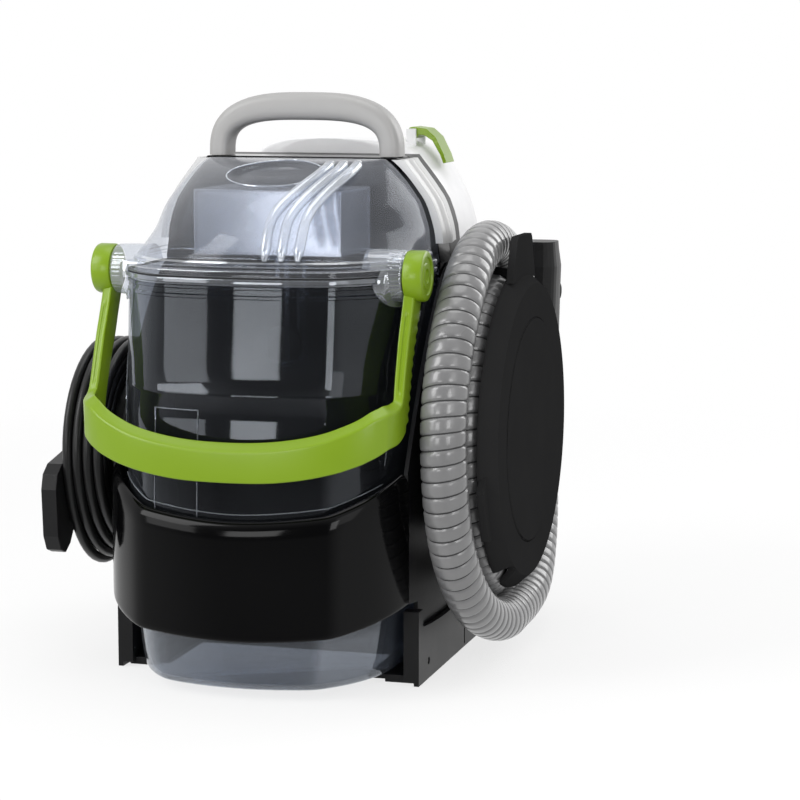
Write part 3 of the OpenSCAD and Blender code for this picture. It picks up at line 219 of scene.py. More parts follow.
def plastic(name, colour, rough, specular=0.35, grain=0.0004, relief=0.12, cast=0.10, spread=0.05, coat=0.0,
            metallic=0.0):
    """Opaque moulded plastic: broad tone, fine grain and a roughness that wanders a little"""
    f = new_finish(name)
    broad = f.noise(CLOUDS, 3.0)
    f.show(f.add(
        "BsdfPrincipled", Base_Color=f.mix(broad, shade(colour, 1.0 - cast), shade(colour, 1.0 + cast)),
        Roughness=(broad - 0.5) * (2 * spread) + rough, Metallic=metallic, Specular_IOR_Level=specular,
        Coat_Weight=coat, Coat_Roughness=0.12, Normal=f.bump(f.noise(grain), relief)))


def see_through(name, tint, haze, gloss, body=(0.62, 0.66, 0.72), rough=0.06, shine=0.55, pale_foot_top=None,
                pale_foot=0.0):
    """Clear moulded plastic: a tinted pane that turns to gloss at its edges, with a little haze"""
    f = new_finish(name)
    mist = f.noise(MIST, 3.0)
    rim = f.add("LayerWeight", Blend=0.5).pick("Facing") ** 4.0
    share = (mist - 0.5) * (0.5 * haze) + haze + rim * gloss
    if pale_foot_top is not None:
        # Paler foot, painted light for the pale floor showing in it: the haze rises below this height
        share = share + ((pale_foot_top - f.height()) * (1.0 / PALE_FOOT_FADE)).clamped() * pale_foot
    solid = f.add(
        "BsdfPrincipled", Base_Color=f.mix(mist, shade(body, 0.92), shade(body, 1.06)),
        Roughness=(mist - 0.5) * 0.04 + rough, Metallic=shine, Specular_IOR_Level=0.6)
    pane = f.add("BsdfTransparent", Color=(*tint, 1.0))
    f.show(f.add("MixShader", _0=share.clamped(), _1=pane, _2=solid))


def metal(name, colour, rough, brushed=0.0006):
    f = new_finish(name)
    fine = f.noise(brushed, 3.0)
    f.show(f.add(
        "BsdfPrincipled", Base_Color=f.mix(fine, shade(colour, 0.85), shade(colour, 1.1)),
        Roughness=(fine - 0.5) * 0.15 + rough, Metallic=1.0, Normal=f.bump(fine, 0.1)))


# Height in metres below which the plug is bare pins
PINS_TOP = 0.0479


def plug_finish(name):
    """Black moulding down to the pins, and bright pins below it"""
    f = new_finish(name)
    pins = (PINS_TOP - f.height()).over(0.0)
    fine = f.noise(0.0005)
    f.show(f.add(
        "BsdfPrincipled", Base_Color=f.mix(pins, (0.016, 0.016, 0.017), (0.72, 0.71, 0.68)),
        Roughness=pins * -0.18 + fine * 0.1 + 0.4, Metallic=pins, Normal=f.bump(fine, 0.1)))


# ---- mesh helpers


def put(name, data):
    """A new object in the scene"""
    thing = bpy.data.objects.new(name, data)
    bpy.context.scene.collection.objects.link(thing)
    return thing


def piece(name, form, finishes, body, replaces, crease=32.0, marks=()):
    """A new piece from (points, faces) in millimetres, riding on a body; marks gives each face's finish"""
    points, faces = form
    mesh = bpy.data.meshes.new(name)
    mesh.from_pydata([Vector(p) * MM for p in points], [], faces)
    mesh.validate()
    mesh.shade_smooth()
    mesh.set_sharp_from_angle(angle=radians(crease))
    for finish in finishes:
        mesh.materials.append(bpy.data.materials["finish_" + finish])
    for face, mark in zip(mesh.polygons, marks):
        face.material_index = mark
    thing = put(name, mesh)
    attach(thing, body)
    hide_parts(*replaces)
    return thing


def loft(rings, low_cap=True, high_cap=True):
    """Points and faces through closed rings of equal length"""
    n = len(rings[0])
    points = [p for ring in rings for p in ring]
    faces = []
    for start in range(0, (len(rings) - 1) * n, n):
        for j in range(n):
            a, b = start + j, start + (j + 1) % n
            faces.append((a, b, b + n, a + n))
    if low_cap:
        faces.append(tuple(range(n - 1, -1, -1)))
    if high_cap:
        faces.append(tuple(range(len(points) - n, len(points))))
    return points, faces


def joined(parts):
    """Several (points, faces) as one"""
    points, faces = [], []
    for p, f in parts:
        shift = len(points)
        points += p
        faces += [tuple(i + shift for i in face) for face in f]
    return points, faces


def circle(steps):
    """Cosine and sine at even steps round a circle"""
    return [(cos(2 * pi * k / steps), sin(2 * pi * k / steps)) for k in range(steps)]


def powered(value, power):
    """A power that keeps the sign"""
    return copysign(abs(value) ** power, value)


def ease(t):
    t = min(1.0, max(0.0, t))
    return t * t * (3 - 2 * t)


def lathe_x(profile, y, z, side):
    """A turned form about X, from (x, radius) pairs, on the right (1) or the left (-1)"""
    return loft([[(side * x, y + r * c * side, z + r * s) for c, s in circle(64)] for x, r in profile])


def at(outline, z):
    return [(x, y, z) for x, y in outline]


def mirrored(points):
    return [Vector((-p.x, p.y, p.z)) for p in points]


def glide(a, b, c, d, t):
    """A point from b to c on a smooth curve that comes from a and goes on to d"""
    return 0.5 * (2 * b + (c - a) * t + (2 * a - 5 * b + 4 * c - d) * t * t + (3 * b - a - 3 * c + d) * t ** 3)


def run_along(line):
    """Distance from a line's start to each of its points"""
    run = [0.0]
    for a, b in zip(line, line[1:]):
        run.append(run[-1] + (b - a).length)
    return run


def spot_along(line, run, s):
    """The point at a distance along a line, and the number of the span that it lies in"""
    i = min(max(bisect_right(run, s) - 1, 0), len(line) - 2)
    return line[i].lerp(line[i + 1], (s - run[i]) / (run[i + 1] - run[i])), i


def spline(route, step):
    """Points an even step apart on a smooth curve through a route"""
    route = [Vector(p) for p in route]
    ends = [route[0], *route, route[-1]]
    fine = [glide(*ends[i:i + 4], k / 16) for i in range(len(route) - 1) for k in range(16)] + [route[-1]]
    run = run_along(fine)
    count = max(2, round(run[-1] / step))
    return [spot_along(fine, run, run[-1] * i / count)[0] for i in range(count + 1)]


def tube(route, radii, sides, up=ACROSS, caps=True):
    """A round tube along a route, with a radius for each of its points"""
    rings = []
    for i, (p, r) in enumerate(zip(route, radii)):
        way = (route[min(i + 1, len(route) - 1)] - route[max(i - 1, 0)]).normalized()
        u = Vector(up).cross(way).normalized()
        v = way.cross(u)
        rings.append([p + r * (c * u + s * v) for c, s in circle(sides)])
    return loft(rings, caps, caps)


def raised_line(route, radius, up):
    """A fine line that stands half out of a wall"""
    return tube(route, [radius] * len(route), 8, up, False)


def between(table, z):
    """A row of a table at height z, on smooth curves through its rows"""
    if z <= table[0][0]:
        return table[0][1:]
    for i in range(len(table) - 1):
        low, high = table[i], table[i + 1]
        if z <= high[0]:
            span = high[0] - low[0]
            t = (z - low[0]) / span
            before, after = table[max(i - 1, 0)], table[min(i + 2, len(table) - 1)]
            row = []
            for k in range(1, len(low)):
                # Slopes that never overshoot
                slope = (high[k] - low[k]) / span
                left = (low[k] - before[k]) / (low[0] - before[0]) if low is not before else slope
                right = (after[k] - high[k]) / (after[0] - high[0]) if high is not after else slope
                m0, m1 = (
                    max(min(0.5 * (side + slope) if side * slope > 0 else 0.0, 3 * abs(slope)), -3 * abs(slope))
                    for side in (left, right))
                row.append((2 * t ** 3 - 3 * t * t + 1) * low[k] + (t ** 3 - 2 * t * t + t) * span * m0
                           + (-2 * t ** 3 + 3 * t * t) * high[k] + (t ** 3 - t * t) * span * m1)
            return row
    return table[-1][1:]


# ---- outlines

# A prow is the plan of a rounded front: a nearly flat face between two upright corners, and sides that
# run back to the shoulders. Where its corners lie, as a share of the half width and of the depth:
CORNER_SHARE = 0.63
CORNER_DEPTH = 0.88
SIDE_POWER = 2.4
# How much closer the points of its face lie towards the corners, and those of its sides towards the front
FACE_CROWDING = 0.8
SIDE_CROWDING = 0.25
# The tower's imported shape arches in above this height, to where it would close
ARCH_START = 240.0
ARCH_POWER = 3.6
ARCH_HALF = 99.2
ARCH_CLOSE = 352.6
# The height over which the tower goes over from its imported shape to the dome's line
ARCH_BLEND = 30


def prow_corner(half, front, shoulder):
    return CORNER_SHARE * half, shoulder + CORNER_DEPTH * (front - shoulder)


def prow_x(half, front, shoulder, y):
    cx, cy = prow_corner(half, front, shoulder)
    return half - (half - cx) * (max(0.0, -y - shoulder) / (cy - shoulder)) ** SIDE_POWER


def prow_y(half, front, shoulder, x):
    cx, cy = prow_corner(half, front, shoulder)
    if abs(x) <= cx:
        return -front + (front - cy) * (x / cx) ** 2
    return -shoulder - (cy - shoulder) * (max(0.0, half - abs(x)) / (half - cx)) ** (1 / SIDE_POWER)


def prow_line(half, front, shoulder, start, side=14, across=28, soften=5):
    """The prow from its left end at y = start to its right end, its two upright corners softened"""
    cx, cy = prow_corner(half, front, shoulder)
    left = []
    for i in range(side):
        t = i / side
        y = start - (cy + start) * (t * (1 + SIDE_CROWDING) - t * t * SIDE_CROWDING)
        left.append((-prow_x(half, front, shoulder, y), y))
    face = []
    for i in range(across + 1):
        x = cx * sin(pi / 2 * (2 * i / across - 1) * FACE_CROWDING) / sin(pi / 2 * FACE_CROWDING)
        face.append((x, prow_y(half, front, shoulder, x)))
    line = left + face + [(-x, y) for x, y in reversed(left)]
    for _ in range(soften):
        line = [line[0]] + [
            ((a[0] + 2 * b[0] + c[0]) / 4, (a[1] + 2 * b[1] + c[1]) / 4)
            for a, b, c in zip(line, line[1:], line[2:])] + [line[-1]]
    return line


TANK_BACK = 5.0
TANK_CORNER = 8.0


def tank_plan(half, front, shoulder, back=TANK_BACK):
    """The closed plan of the tank: a prow and a flat back with round corners"""
    end = back - TANK_CORNER
    left = [(-half + TANK_CORNER * (1 - sin(radians(a))), back - TANK_CORNER * (1 - cos(radians(a))))
            for a in (0, 22, 45, 68, 90)]
    left += [(-half, end - (end + shoulder) * i / 6) for i in range(1, 6)]
    return left + prow_line(half, front, shoulder, -shoulder) + [(-x, y) for x, y in reversed(left)]


def arch_half(z):
    """Half width of the tower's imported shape"""
    rise = max(0.0, z - ARCH_START) / (ARCH_CLOSE - ARCH_START)
    return ARCH_HALF * max(0.0, 1 - rise ** ARCH_POWER) ** (1 / ARCH_POWER)


def round_box(half_x, half_y, middle_y, power):
    """A closed plan between an ellipse (power 2) and a box"""
    return [(half_x * powered(c, 2 / power), middle_y + half_y * powered(s, 2 / power)) for c, s in circle(96)]


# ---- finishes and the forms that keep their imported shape


class EXTRACTOR_OT_finishes(bpy.types.Operator):
    """Mixes every finish of the machine"""

    bl_idname = "extractor.finishes"
    bl_label = "Finishes"

    def execute(self, context):
        colours = context.scene.extractor_colours
        smoke, clear = tuple(colours.smoke), tuple(colours.clear)
        plastic("satin_black", (0.010, 0.010, 0.0105), 0.40, 0.20, 0.0005, 0.16)
        plastic("gloss_black", (0.0015, 0.0015, 0.0017), 0.10, 0.14, 0.004, 0.01, spread=0.03)
        plastic("matt_black", (0.023, 0.023, 0.0234), 0.60, 0.0, 0.0006, 0.28)
        plastic("lead_black", (0.006, 0.006, 0.0064), 0.36, 0.35, 0.0008, 0.10)
        plastic("rubber_black", (0.014, 0.014, 0.0145), 0.72, 0.25, 0.0009, 0.30)
        plastic("silver_grey", colours.silver, 0.38, 0.5, 0.0003, 0.06, 0.03, 0.03)
        plastic("trim_grey", colours.trim, 0.38, 0.45, 0.0004, 0.06, 0.03, 0.03, metallic=0.1)
        plastic("lime", colours.lime, 0.32, 0.32, 0.0005, 0.05, 0.04, 0.04, coat=0.1)
        plastic("hose_rib", colours.hose, 0.30, 0.5, 0.0012, 0.06, 0.25, 0.10, coat=0.5)
        # The grooves' near-black colour is painted shade in the hollow between the ribs
        plastic("hose_groove", (0.035, 0.035, 0.036), 0.5, 0.3, 0.0012, 0.06)
        # The tank's foot is drawn paler below 50 mm: painted light for the pale floor showing in it
        see_through("smoke_clear", smoke, 0.055, 0.85, shine=0.9, pale_foot_top=0.050, pale_foot=0.12)
        see_through("smoke_inner", shade(smoke, 1.15), 0.03, 0.35, rough=0.6, shine=0.0)
        see_through("smoke_deep", shade(smoke, 0.82), 0.01, 0.10, rough=0.6, shine=0.0)
        # Paler, hazier finish for the tank's rim and raised lines: painted highlight along their edges
        see_through("tank_edge_highlight", smoke, 0.22, 1.0, body=(0.75, 0.79, 0.85))
        see_through("clear", clear, 0.09, 0.75, body=(0.64, 0.66, 0.71), rough=0.15, shine=0.3)
        see_through("misted", clear, 0.34, 0.9, body=(0.74, 0.77, 0.84), rough=0.12)
        see_through("ear_clear", (0.86, 0.88, 0.92), 0.26, 1.0, body=(0.84, 0.87, 0.92))
        # Paler, hazier finish for the lid's flange edges, its bead, the finger ribs and the dish's line:
        # painted highlight along them
        see_through("clear_edge_highlight", clear, 0.34, 1.0, body=(0.85, 0.88, 0.92), rough=0.12)
        see_through("milky", (0.96, 0.96, 0.97), 0.66, 0.8, body=(0.88, 0.88, 0.89), rough=0.3, shine=0.0)
        metal("screw_steel", (0.55, 0.55, 0.56), 0.35)
        metal("motor_metal", (0.50, 0.50, 0.50), 0.42, 0.002)
        plug_finish("plug_black")
        return {"FINISHED"}


# Finish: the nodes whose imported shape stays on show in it
KEPT = {
    "satin_black": (
        "base_frame", "rear_housing", "side_panel_right", "side_panel_left", "inlet_pipe", "grip_left",
        "grip_right", "cord_drum", "cord_hook_front", "cord_hook_rear", "fan_housing", "switch_rocker"),
    "gloss_black": ("switch_frame",),
    "matt_black": (
        "rack_drum", "rack_disc", "rack_cover", "hose_port", "hose_cuffs", "trigger_mount", "grip_clip",
        "tool_clip", "air_duct", "pump", "dock_cup", "exhaust_grille", "float_ball", "clean_cap"),
    "rubber_black": ("rubber_feet", "tool_bristles", "strain_relief", "motor_mounts", "lid_gasket"),
    "screw_steel": ("case_screws", "rack_screws", "fan_shaft"),
    "motor_metal": ("motor_can",),
    "plug_black": ("plug",),
    "silver_grey": ("impeller",),
    "lime": ("trigger", "clean_latch"),
    "smoke_clear": ("stain_tool", "float_cage"),
    "misted": ("separator",),
    "clear": ("pump_tube",),
}
# Nodes with nothing to soften, or too fine for it
UNSOFTENED = {"tool_bristles", "rubber_feet", "pump_tube", "float_ball", "lid_gasket", "impeller", "stain_tool",
              "grip_left", "grip_right"}


def soften(thing, edge):
    """Round the moulded edges of a faceted form"""
    weld = thing.modifiers.new("weld", "WELD")
    weld.merge_threshold = 0.00001
    flat = thing.modifiers.new("flatten", "DECIMATE")
    flat.decimate_type = "DISSOLVE"
    flat.angle_limit = radians(0.6)
    bevel = thing.modifiers.new("edges", "BEVEL")
    bevel.width = edge
    bevel.segments = 2
    bevel.limit_method = "ANGLE"
    bevel.angle_limit = radians(28)
    bevel.harden_normals = True
    bevel.use_clamp_overlap = True


class EXTRACTOR_OT_kept_forms(bpy.types.Operator):
    """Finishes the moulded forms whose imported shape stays, and softens their edges"""

    bl_idname = "extractor.kept_forms"
    bl_label = "Moulded forms"

    def execute(self, context):
        for finish, names in KEPT.items():
            for name in names:
                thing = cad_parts[name]
                thing.data.materials.clear()
                thing.data.materials.append(bpy.data.materials["finish_" + finish])
                if name not in UNSOFTENED:
                    soften(thing, context.scene.extractor_sizes.edge)
        return {"FINISHED"}


# Height over the tower's shoulder and the half width there
TOWER_SIDES = [(262, 98.9), (276.7, 98.6), (283.6, 97.4), (293.8, 96.2), (302.5, 94.0), (314.1, 89.6),
               (322.7, 84.0), (331.3, 77.6), (339.2, 71.4), (343.3, 68.6)]


class EXTRACTOR_OT_tower(bpy.types.Operator):
    """The two halves of the tower, drawn in over the shoulders to the line of the dome"""

    bl_idname = "extractor.tower"
    bl_label = "Tower"

    def execute(self, context):
        for name, finish in (("tower_front", "gloss_black"), ("tower_rear", "satin_black")):
            node = name + "_shell"
            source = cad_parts[node].data
            points = []
            for vertex in source.vertices:
                x, y, z = vertex.co / MM
                if z > ARCH_START:
                    share = between(TOWER_SIDES, z)[0] / arch_half(z)
                    x *= 1 + (min(share, 1.0) - 1) * ease((z - ARCH_START) / ARCH_BLEND)
                points.append((x, y, z))
            faces = [tuple(face.vertices) for face in source.polygons]
            thing = piece(name, (points, faces), (finish,), "body", (node,), crease=28)
            soften(thing, context.scene.extractor_sizes.edge)
        return {"FINISHED"}


# ---- dirty water tank

# Height, half width, front, shoulder
TANK_WALLS = [
    (6.3, 82.0, 132.0, 48.0), (8.0, 85.0, 135.5, 49.0), (12.3, 86.5, 137.0, 50.0), (40.0, 90.0, 138.0, 52.0),
    (100.0, 95.5, 138.0, 54.0), (180.0, 97.0, 134.0, 54.0), (250.0, 97.0, 127.0, 51.0),
    (267.4, 97.0, 125.5, 50.0)]
TANK_TOP = 267.4
# Height and how far out, from the foot up: a faint bead round the middle, then the stepped rim
TANK_OUTSIDE = [(z, 0) for z in (
    6.3, 6.7, 7.4, 8.4, 10.2, 12.3, 16, 22, 30, 40, 55, 70, 85, 100, 120, 140, 160, 180)]
TANK_OUTSIDE += [
    (195.5, 0), (196.2, 0.45), (198.2, 0.45), (199, 0), (215, 0), (235, 0), (250, 0), (257, 0), (258, 0),
    (258.6, 0.8), (260.2, 0.8), (260.9, 0.1), (264, 0.1), (264.6, 0.9), (266, 0.9), (266.6, 0.1), (267.4, 0.3),
    (267.9, 1.6), (268.3, 2.0), (270.6, 2.0), (271.0, 1.7)]
TANK_INSIDE = (271.0, 250, 215, 180, 140, 100, 60, 40, 22, 14)
# How many spans of wall, from the top, have the rim's paler finish outside, a painted highlight, and the deeper
# tint inside
RIM_SPANS = 6
DEEP_SPANS = 6

# The line up each corner, a pale raised line that paints the highlight along the softened corner: its top,
# where it bends, and its y at the top and how far forward the bend is
EDGE_TOP, EDGE_BEND, EDGE_Y, EDGE_FORWARD = 267, 177, -50, 38
# The height that it would take below the bend to come as far forward again
EDGE_LEAN = 200
# The sill's half width and its height over the band's upper edge
SILL_HALF, SILL_UP = 88, 3.5
# The raised outline on the left of the front: x from and to, and the height of its upper side
PANEL_LEFT, PANEL_RIGHT, PANEL_TOP = -55.5, -24, 187
LINE_RADIUS = 0.4
LINE_PROUD = 0.1

BAND_HALF, BAND_FRONT, BAND_SHOULDER, BAND_END, BAND_THICK = 105.7, 146.0, 60.0, -85.0, 6.0


# The band's two edges: height at the front, climb to the back, and how the climb bends
BAND_LOWER = (40, 18, 0.9)
BAND_UPPER = (118, 26, 0.85)


def band_edge(edge, y, front=BAND_FRONT):
    """Height of an edge of the band, seen from a prow that reaches as far as front"""
    height, climb, bend = edge
    return height + climb * max(0.0, (y + front) / (BAND_FRONT + BAND_END)) ** bend


class EXTRACTOR_OT_dirty_tank(bpy.types.Operator):
    """The smoke-tinted tank: outer wall with its beads and rim, and inner wall"""

    bl_idname = "extractor.dirty_tank"
    bl_label = "Dirty water tank"

    def lines(self):
        """Fine raised lines on the front in the paler edge finish, a painted highlight: one up each corner, the
        sill over the band and a panel's outline
        """
        def spot(x, z):
            return Vector((x, prow_y(*between(TANK_WALLS, z), x) - LINE_PROUD, z))

        corner = []
        for z in range(150, EDGE_TOP + 1, 6):
            down = (EDGE_TOP - z) / (EDGE_TOP - EDGE_BEND) if z > EDGE_BEND else 1 + (EDGE_BEND - z) / EDGE_LEAN
            y = EDGE_Y - EDGE_FORWARD * down
            corner.append(Vector((prow_x(*between(TANK_WALLS, z), y) + LINE_PROUD, y, z)))
        sill = []
        front = BAND_FRONT - BAND_THICK
        for i in range(61):
            x = SILL_HALF * (i / 30 - 1)
            y = prow_y(BAND_HALF - BAND_THICK, front, BAND_SHOULDER, x)
            sill.append(spot(x, SILL_UP + band_edge(BAND_UPPER, y, front)))
        panel = [spot(PANEL_LEFT, z) for z in range(104, 185, 8)]
        panel += [spot(x, PANEL_TOP) for x in range(-56, -23, 4)]
        panel += [spot(PANEL_RIGHT, z) for z in range(184, 103, -8)]
        return [raised_line(line, LINE_RADIUS, (0, 0.3, 1)) for line in (mirrored(corner), corner, sill, panel)]

    def execute(self, context):
        wall = context.scene.extractor_sizes.wall / MM

        def ring(z, out):
            half, front, shoulder = between(TANK_WALLS, z)
            return at(tank_plan(half + out, front + out, shoulder, TANK_BACK + min(out, 0.0)), z)

        outer = [ring(z, out) for z, out in TANK_OUTSIDE]
        inner = [ring(z, -wall) for z in TANK_INSIDE]
        # The floor's inside, drawn in to a round foot
        half, front, shoulder = between(TANK_WALLS, 12.0)
        for z, inset in ((10.2, wall + 1), (8.9, wall + 5)):
            inner.append(at(tank_plan(half - inset, front - inset, shoulder, TANK_BACK - wall), z))
        finishes = ("smoke_clear", "smoke_inner", "tank_edge_highlight", "smoke_deep")
        spans = [0] * (len(outer) - RIM_SPANS) + [2] * RIM_SPANS
        spans += [3] * DEEP_SPANS + [1] * (len(inner) - 1 - DEEP_SPANS)
        marks = [mark for mark in spans for _ in outer[0]] + [0, 1]
        lines = self.lines()
        # The raised lines all take the paler edge finish, painted highlight
        marks += [2] * sum(len(faces) for _, faces in lines)
        piece("tank_wall", joined([loft(outer + inner)] + lines), finishes, "dirty_tank",
              ("tank_shell",), crease=40, marks=marks)
        return {"FINISHED"}


# ---- lid

DOME_RISE = 66.0
DOME_FRONT = 123.0
DOME_TIP = 14.0
# Height of the dome and its half width there
DOME_SIDES = [(276.7, 95.6), (283.6, 94.6), (293.8, 93.4), (302.5, 91.2), (314.1, 86.8), (322.7, 81.0),
              (331.3, 74.2), (339.2, 66.4), (342.2, 62.5)]
FLANGE_TOP = 276.2
DOME_FOOT = FLANGE_TOP + 0.5
# The degrees up the dome over which its plan goes over from the tank's to its own
DOME_BLEND = 26
# Finger dish in the upper front of the dome: its middle, its reach across and up, and its depth
DISH_X, DISH_Z, DISH_ACROSS, DISH_UP, DISH_DEPTH = 4.0, 334.8, 32.0, 7.6, 4.0
# The way into the dish, as (y, z)
DISH_WAY = (0.75, -0.65)
# The finger ribs: x of the first one's foot, from one to the next, how far the first bends to the right and
# how much less each next; where they start and how far they run, in degrees up the dome; and their radius
RIB_X, RIB_STEP, RIB_BEND, RIB_LESS = 18.5, 10.3, 19, 2.0
RIB_FOOT, RIB_RUN, RIB_RADIUS = 5, 68, 3.4


def dome_z(t):
    """Height of the dome's ring at t, from 0 degrees at the foot to 90 at the top"""
    return DOME_FOOT + (DOME_RISE - 0.5) * sin(radians(t))


def dome_half(t):
    return between(DOME_SIDES, dome_z(t))[0]


def dome_reach(t):
    return DOME_TIP + (DOME_FRONT - DOME_TIP) * cos(radians(t))


def dome_round(t, half, reach, point):
    """A point of the tank's plan drawn in to the rounder plan that the dome has above its foot"""
    x, y = point
    if y >= 0:
        return x, y
    way = atan2(-y / reach, x / half)
    power = 2.0 - 0.15 * sin(radians(2 * t))
    soft_x, soft_y = half * powered(cos(way), 2 / power), -reach * abs(sin(way)) ** (2 / power)
    share = ease((t + 4) / DOME_BLEND)
    return x + (soft_x - x) * share, y + (soft_y - y) * share


def dome_ring(t, out):
    half, reach = dome_half(t) + out, dome_reach(t) + out
    return at([dome_round(t, half, reach, p) for p in tank_plan(half, reach, reach * 0.4)], dome_z(t))


def dome_point(x, t, out):
    """A point on the dome's front, a little out from it"""
    half, reach = dome_half(t), dome_reach(t)
    y = dome_round(t, half, reach, (x, prow_y(half, reach, reach * 0.4, x)))[1]
    away = Vector((0, -cos(radians(t)) / (DOME_FRONT - DOME_TIP), sin(radians(t)) / DOME_RISE)).normalized()
    return Vector((x, y, dome_z(t))) + away * out


class EXTRACTOR_OT_lid(bpy.types.Operator):
    """The clear domed lid with its flange, its finger dish and the three bent ribs on it"""

    bl_idname = "extractor.lid"
    bl_label = "Tank lid"

    def execute(self, context):
        half, front, shoulder = TANK_WALLS[-1][1:]
        rings = []
        for z, out in ((272.2, 1.7), (272.5, 2.0), (275.7, 2.0), (276.2, 1.6), (276.25, 0.2)):
            rings.append(at(tank_plan(half + out, front + out, shoulder), z))
        flange = len(rings)
        for t in (0, 1.2, 2.0, 3.4, 4.4, *range(7, 91)):
            # A low bead runs round the foot of the dome
            rings.append(dome_ring(t, 0.7 if t in (2.0, 3.4) else 0.0))
        rings = [[self.dished(*p) for p in ring] for ring in rings]
        # Rows that take the paler edge finish, painted highlight: the flange's edges and the bead's flanks
        edges = (0, 2, flange + 1, flange + 3)
        marks = [int(i in edges) for i in range(len(rings) - 1) for _ in rings[0]] + [0]
        piece("lid_dome", loft(rings, low_cap=False), ("clear", "clear_edge_highlight"), "dirty_tank",
              ("tank_lid",), crease=40, marks=marks)
        piece("lid_finger_ribs", joined([self.rib(k) for k in range(3)] + [self.crease()]), ("clear_edge_highlight",),
              "dirty_tank", ("lid_ribs",))
        return {"FINISHED"}

    def dished(self, x, y, z):
        """A point of the lid, sunk where it lies in the dish"""
        # Distance from the dish's middle, as a share of its reach across and up the dome
        share = hypot((x - DISH_X) / DISH_ACROSS, (z - DISH_Z) / DISH_UP)
        depth = DISH_DEPTH * ease((1.0 - share) * 4.0)
        return x, y + depth * DISH_WAY[0], z + depth * DISH_WAY[1]

    def rib(self, k):
        """One finger rib, from left to right 0, 1 or 2: up the dome, bent to the right, thin at its ends"""
        route = []
        for i in range(25):
            u = i / 24
            x = RIB_X + RIB_STEP * k + (RIB_BEND - RIB_LESS * k) * ease((u - 0.26) / 0.66)
            route.append(dome_point(x, RIB_FOOT + RIB_RUN * u, 2.0))
        route = spline(route, 2.0)
        last = len(route) - 1
        ends = [min(1.0, 0.45 + 0.55 * min(i, last - i) / 3) for i in range(last + 1)]
        return tube(route, [RIB_RADIUS * share for share in ends], 14)

    def crease(self):
        """The fine line round the dish"""
        route = []
        for c, s in circle(72) + circle(1):
            z = DISH_Z + (DISH_UP - 0.4) * s
            t = degrees(asin((z - DOME_FOOT) / (DOME_RISE - 0.5)))
            route.append(dome_point(DISH_X + (DISH_ACROSS + 0.5) * c, t, 0.1))
        return raised_line(route, 0.45, (0, 0.66, 0.75))


# ---- ears and bail

# The pivot, the bail's reach to the front and the thickness of its strap
BAIL_Y = -77.4
BAIL_Z = 271.7
BAIL_FRONT = 155.0
BAIL_THICK = 7.5
# Where the bowed front of the strap starts, and its half width there
BAIL_BOW_Y = 112
BAIL_BOW_HALF = 108.5
# The four long edges of a leg from the boss down, each as (x, y, z): outer rear, outer front, inner front,
# inner rear
BAIL_LEG = [
    ((107, -66, 262), (107, -86, 262), (100, -88, 262), (100, -68, 262)),
    ((107, -71.5, 251), (107, -90, 252), (99.9, -92, 252), (100, -73, 250)),
    ((107, -76, 241), (107, -95, 241), (99.9, -97, 241), (100, -77, 241)),
    ((107, -80.5, 232), (107, -99.3, 232), (100, -101.2, 232), (100, -81, 231)),
    ((107, -85.5, 223), (107, -103, 223), (100.1, -104.5, 223), (100, -85.5, 222)),
    ((107, -90, 212), (107, -107, 212.5), (100.2, -108.3, 212.5), (100, -90.8, 211)),
    ((107.2, -94.5, 199), (107.1, -111.2, 201), (100.4, -112, 201.5), (100.2, -95.5, 199)),
    ((107.4, -98.5, 189), (107.2, -114.2, 195.2), (100.6, -113.8, 197), (100.4, -98.8, 188.5)),
    ((107.5, -102.5, 180), (107.4, -117, 192.6), (100.4, -115.4, 195.6), (100.2, -102, 180)),
    ((107.5, -110, 173.5), (107.1, -121, 191.1), (99.8, -117.6, 194.9), (100, -107.5, 173.8)),
    ((106.6, -121, 168.9), (105.9, -125.4, 190), (98.9, -120.8, 194.3), (99.2, -116.5, 169.6))]
# The front strap from the leg to the middle: x, lower edge, ridge
BAIL_STRAP = [
    (103, 166.6, 188.9), (100, 164.4, 187.6), (96, 161.8, 186), (92, 159.8, 183.7), (88, 157.8, 181.4),
    (82, 155.6, 178.6), (75, 153.2, 175.9), (68, 151.4, 173.4), (60, 149.6, 171.2), (50, 147.8, 169.1),
    (40, 146.4, 167.5), (30, 145.4, 166.3), (20, 144.9, 165.5), (10, 144.7, 165.1), (0, 144.6, 165)]
# The turned boss at the pivot, as (x, radius)
BAIL_BOSS = [
    (99.9, 8.0), (99.9, 14.6), (100.4, 15.8), (101.6, 16.4), (111.2, 16.5), (112.6, 15.9), (113.2, 14.6),
    (113.2, 12.4), (112.2, 11.8), (112.2, 8.6), (112.8, 8.0), (112.8, 5.0), (111.4, 4.6)]
# How much higher the strap's inner edges lie than its outer ones: lower edge, ridge
STRAP_LIFT = (1.0, 5.3)
# Finger scallops down the rear of the legs: from, to, their pitch and half their depth
SCALLOP_LOW, SCALLOP_HIGH, SCALLOP_PITCH, SCALLOP_DEPTH = 174, 244, 7.0, 0.55
# The groove down the front of the legs: from, to, and its depth
GROOVE_LOW, GROOVE_HIGH, GROOVE_DEPTH = 196, 252, 0.7
# How many spans from the boss down can have scallops, and the groove
SCALLOP_SPANS, GROOVE_SPANS = 10, 8
CORNER_RADIUS = 1.5

# An ear from the tank out: x, and its radius below and above
EAR_PROFILE = [
    (74, 20.5, 16.8), (84, 20.5, 16.8), (88.8, 20.3, 16.8), (90, 19.5, 16.8), (91.2, 17.4, 16.7),
    (92.4, 16.8, 16.6), (97.8, 16.4, 16.4), (99, 16, 16), (99.5, 15.2, 15.2)]
EAR_ROOT = EAR_PROFILE[0][0]
EAR_END = 99.6
# The barrel's fine ribs: where they start, how many, and their depth
EAR_RIBS_FROM, EAR_RIBS, EAR_RIB_DEPTH = 91.0, 36, 0.45


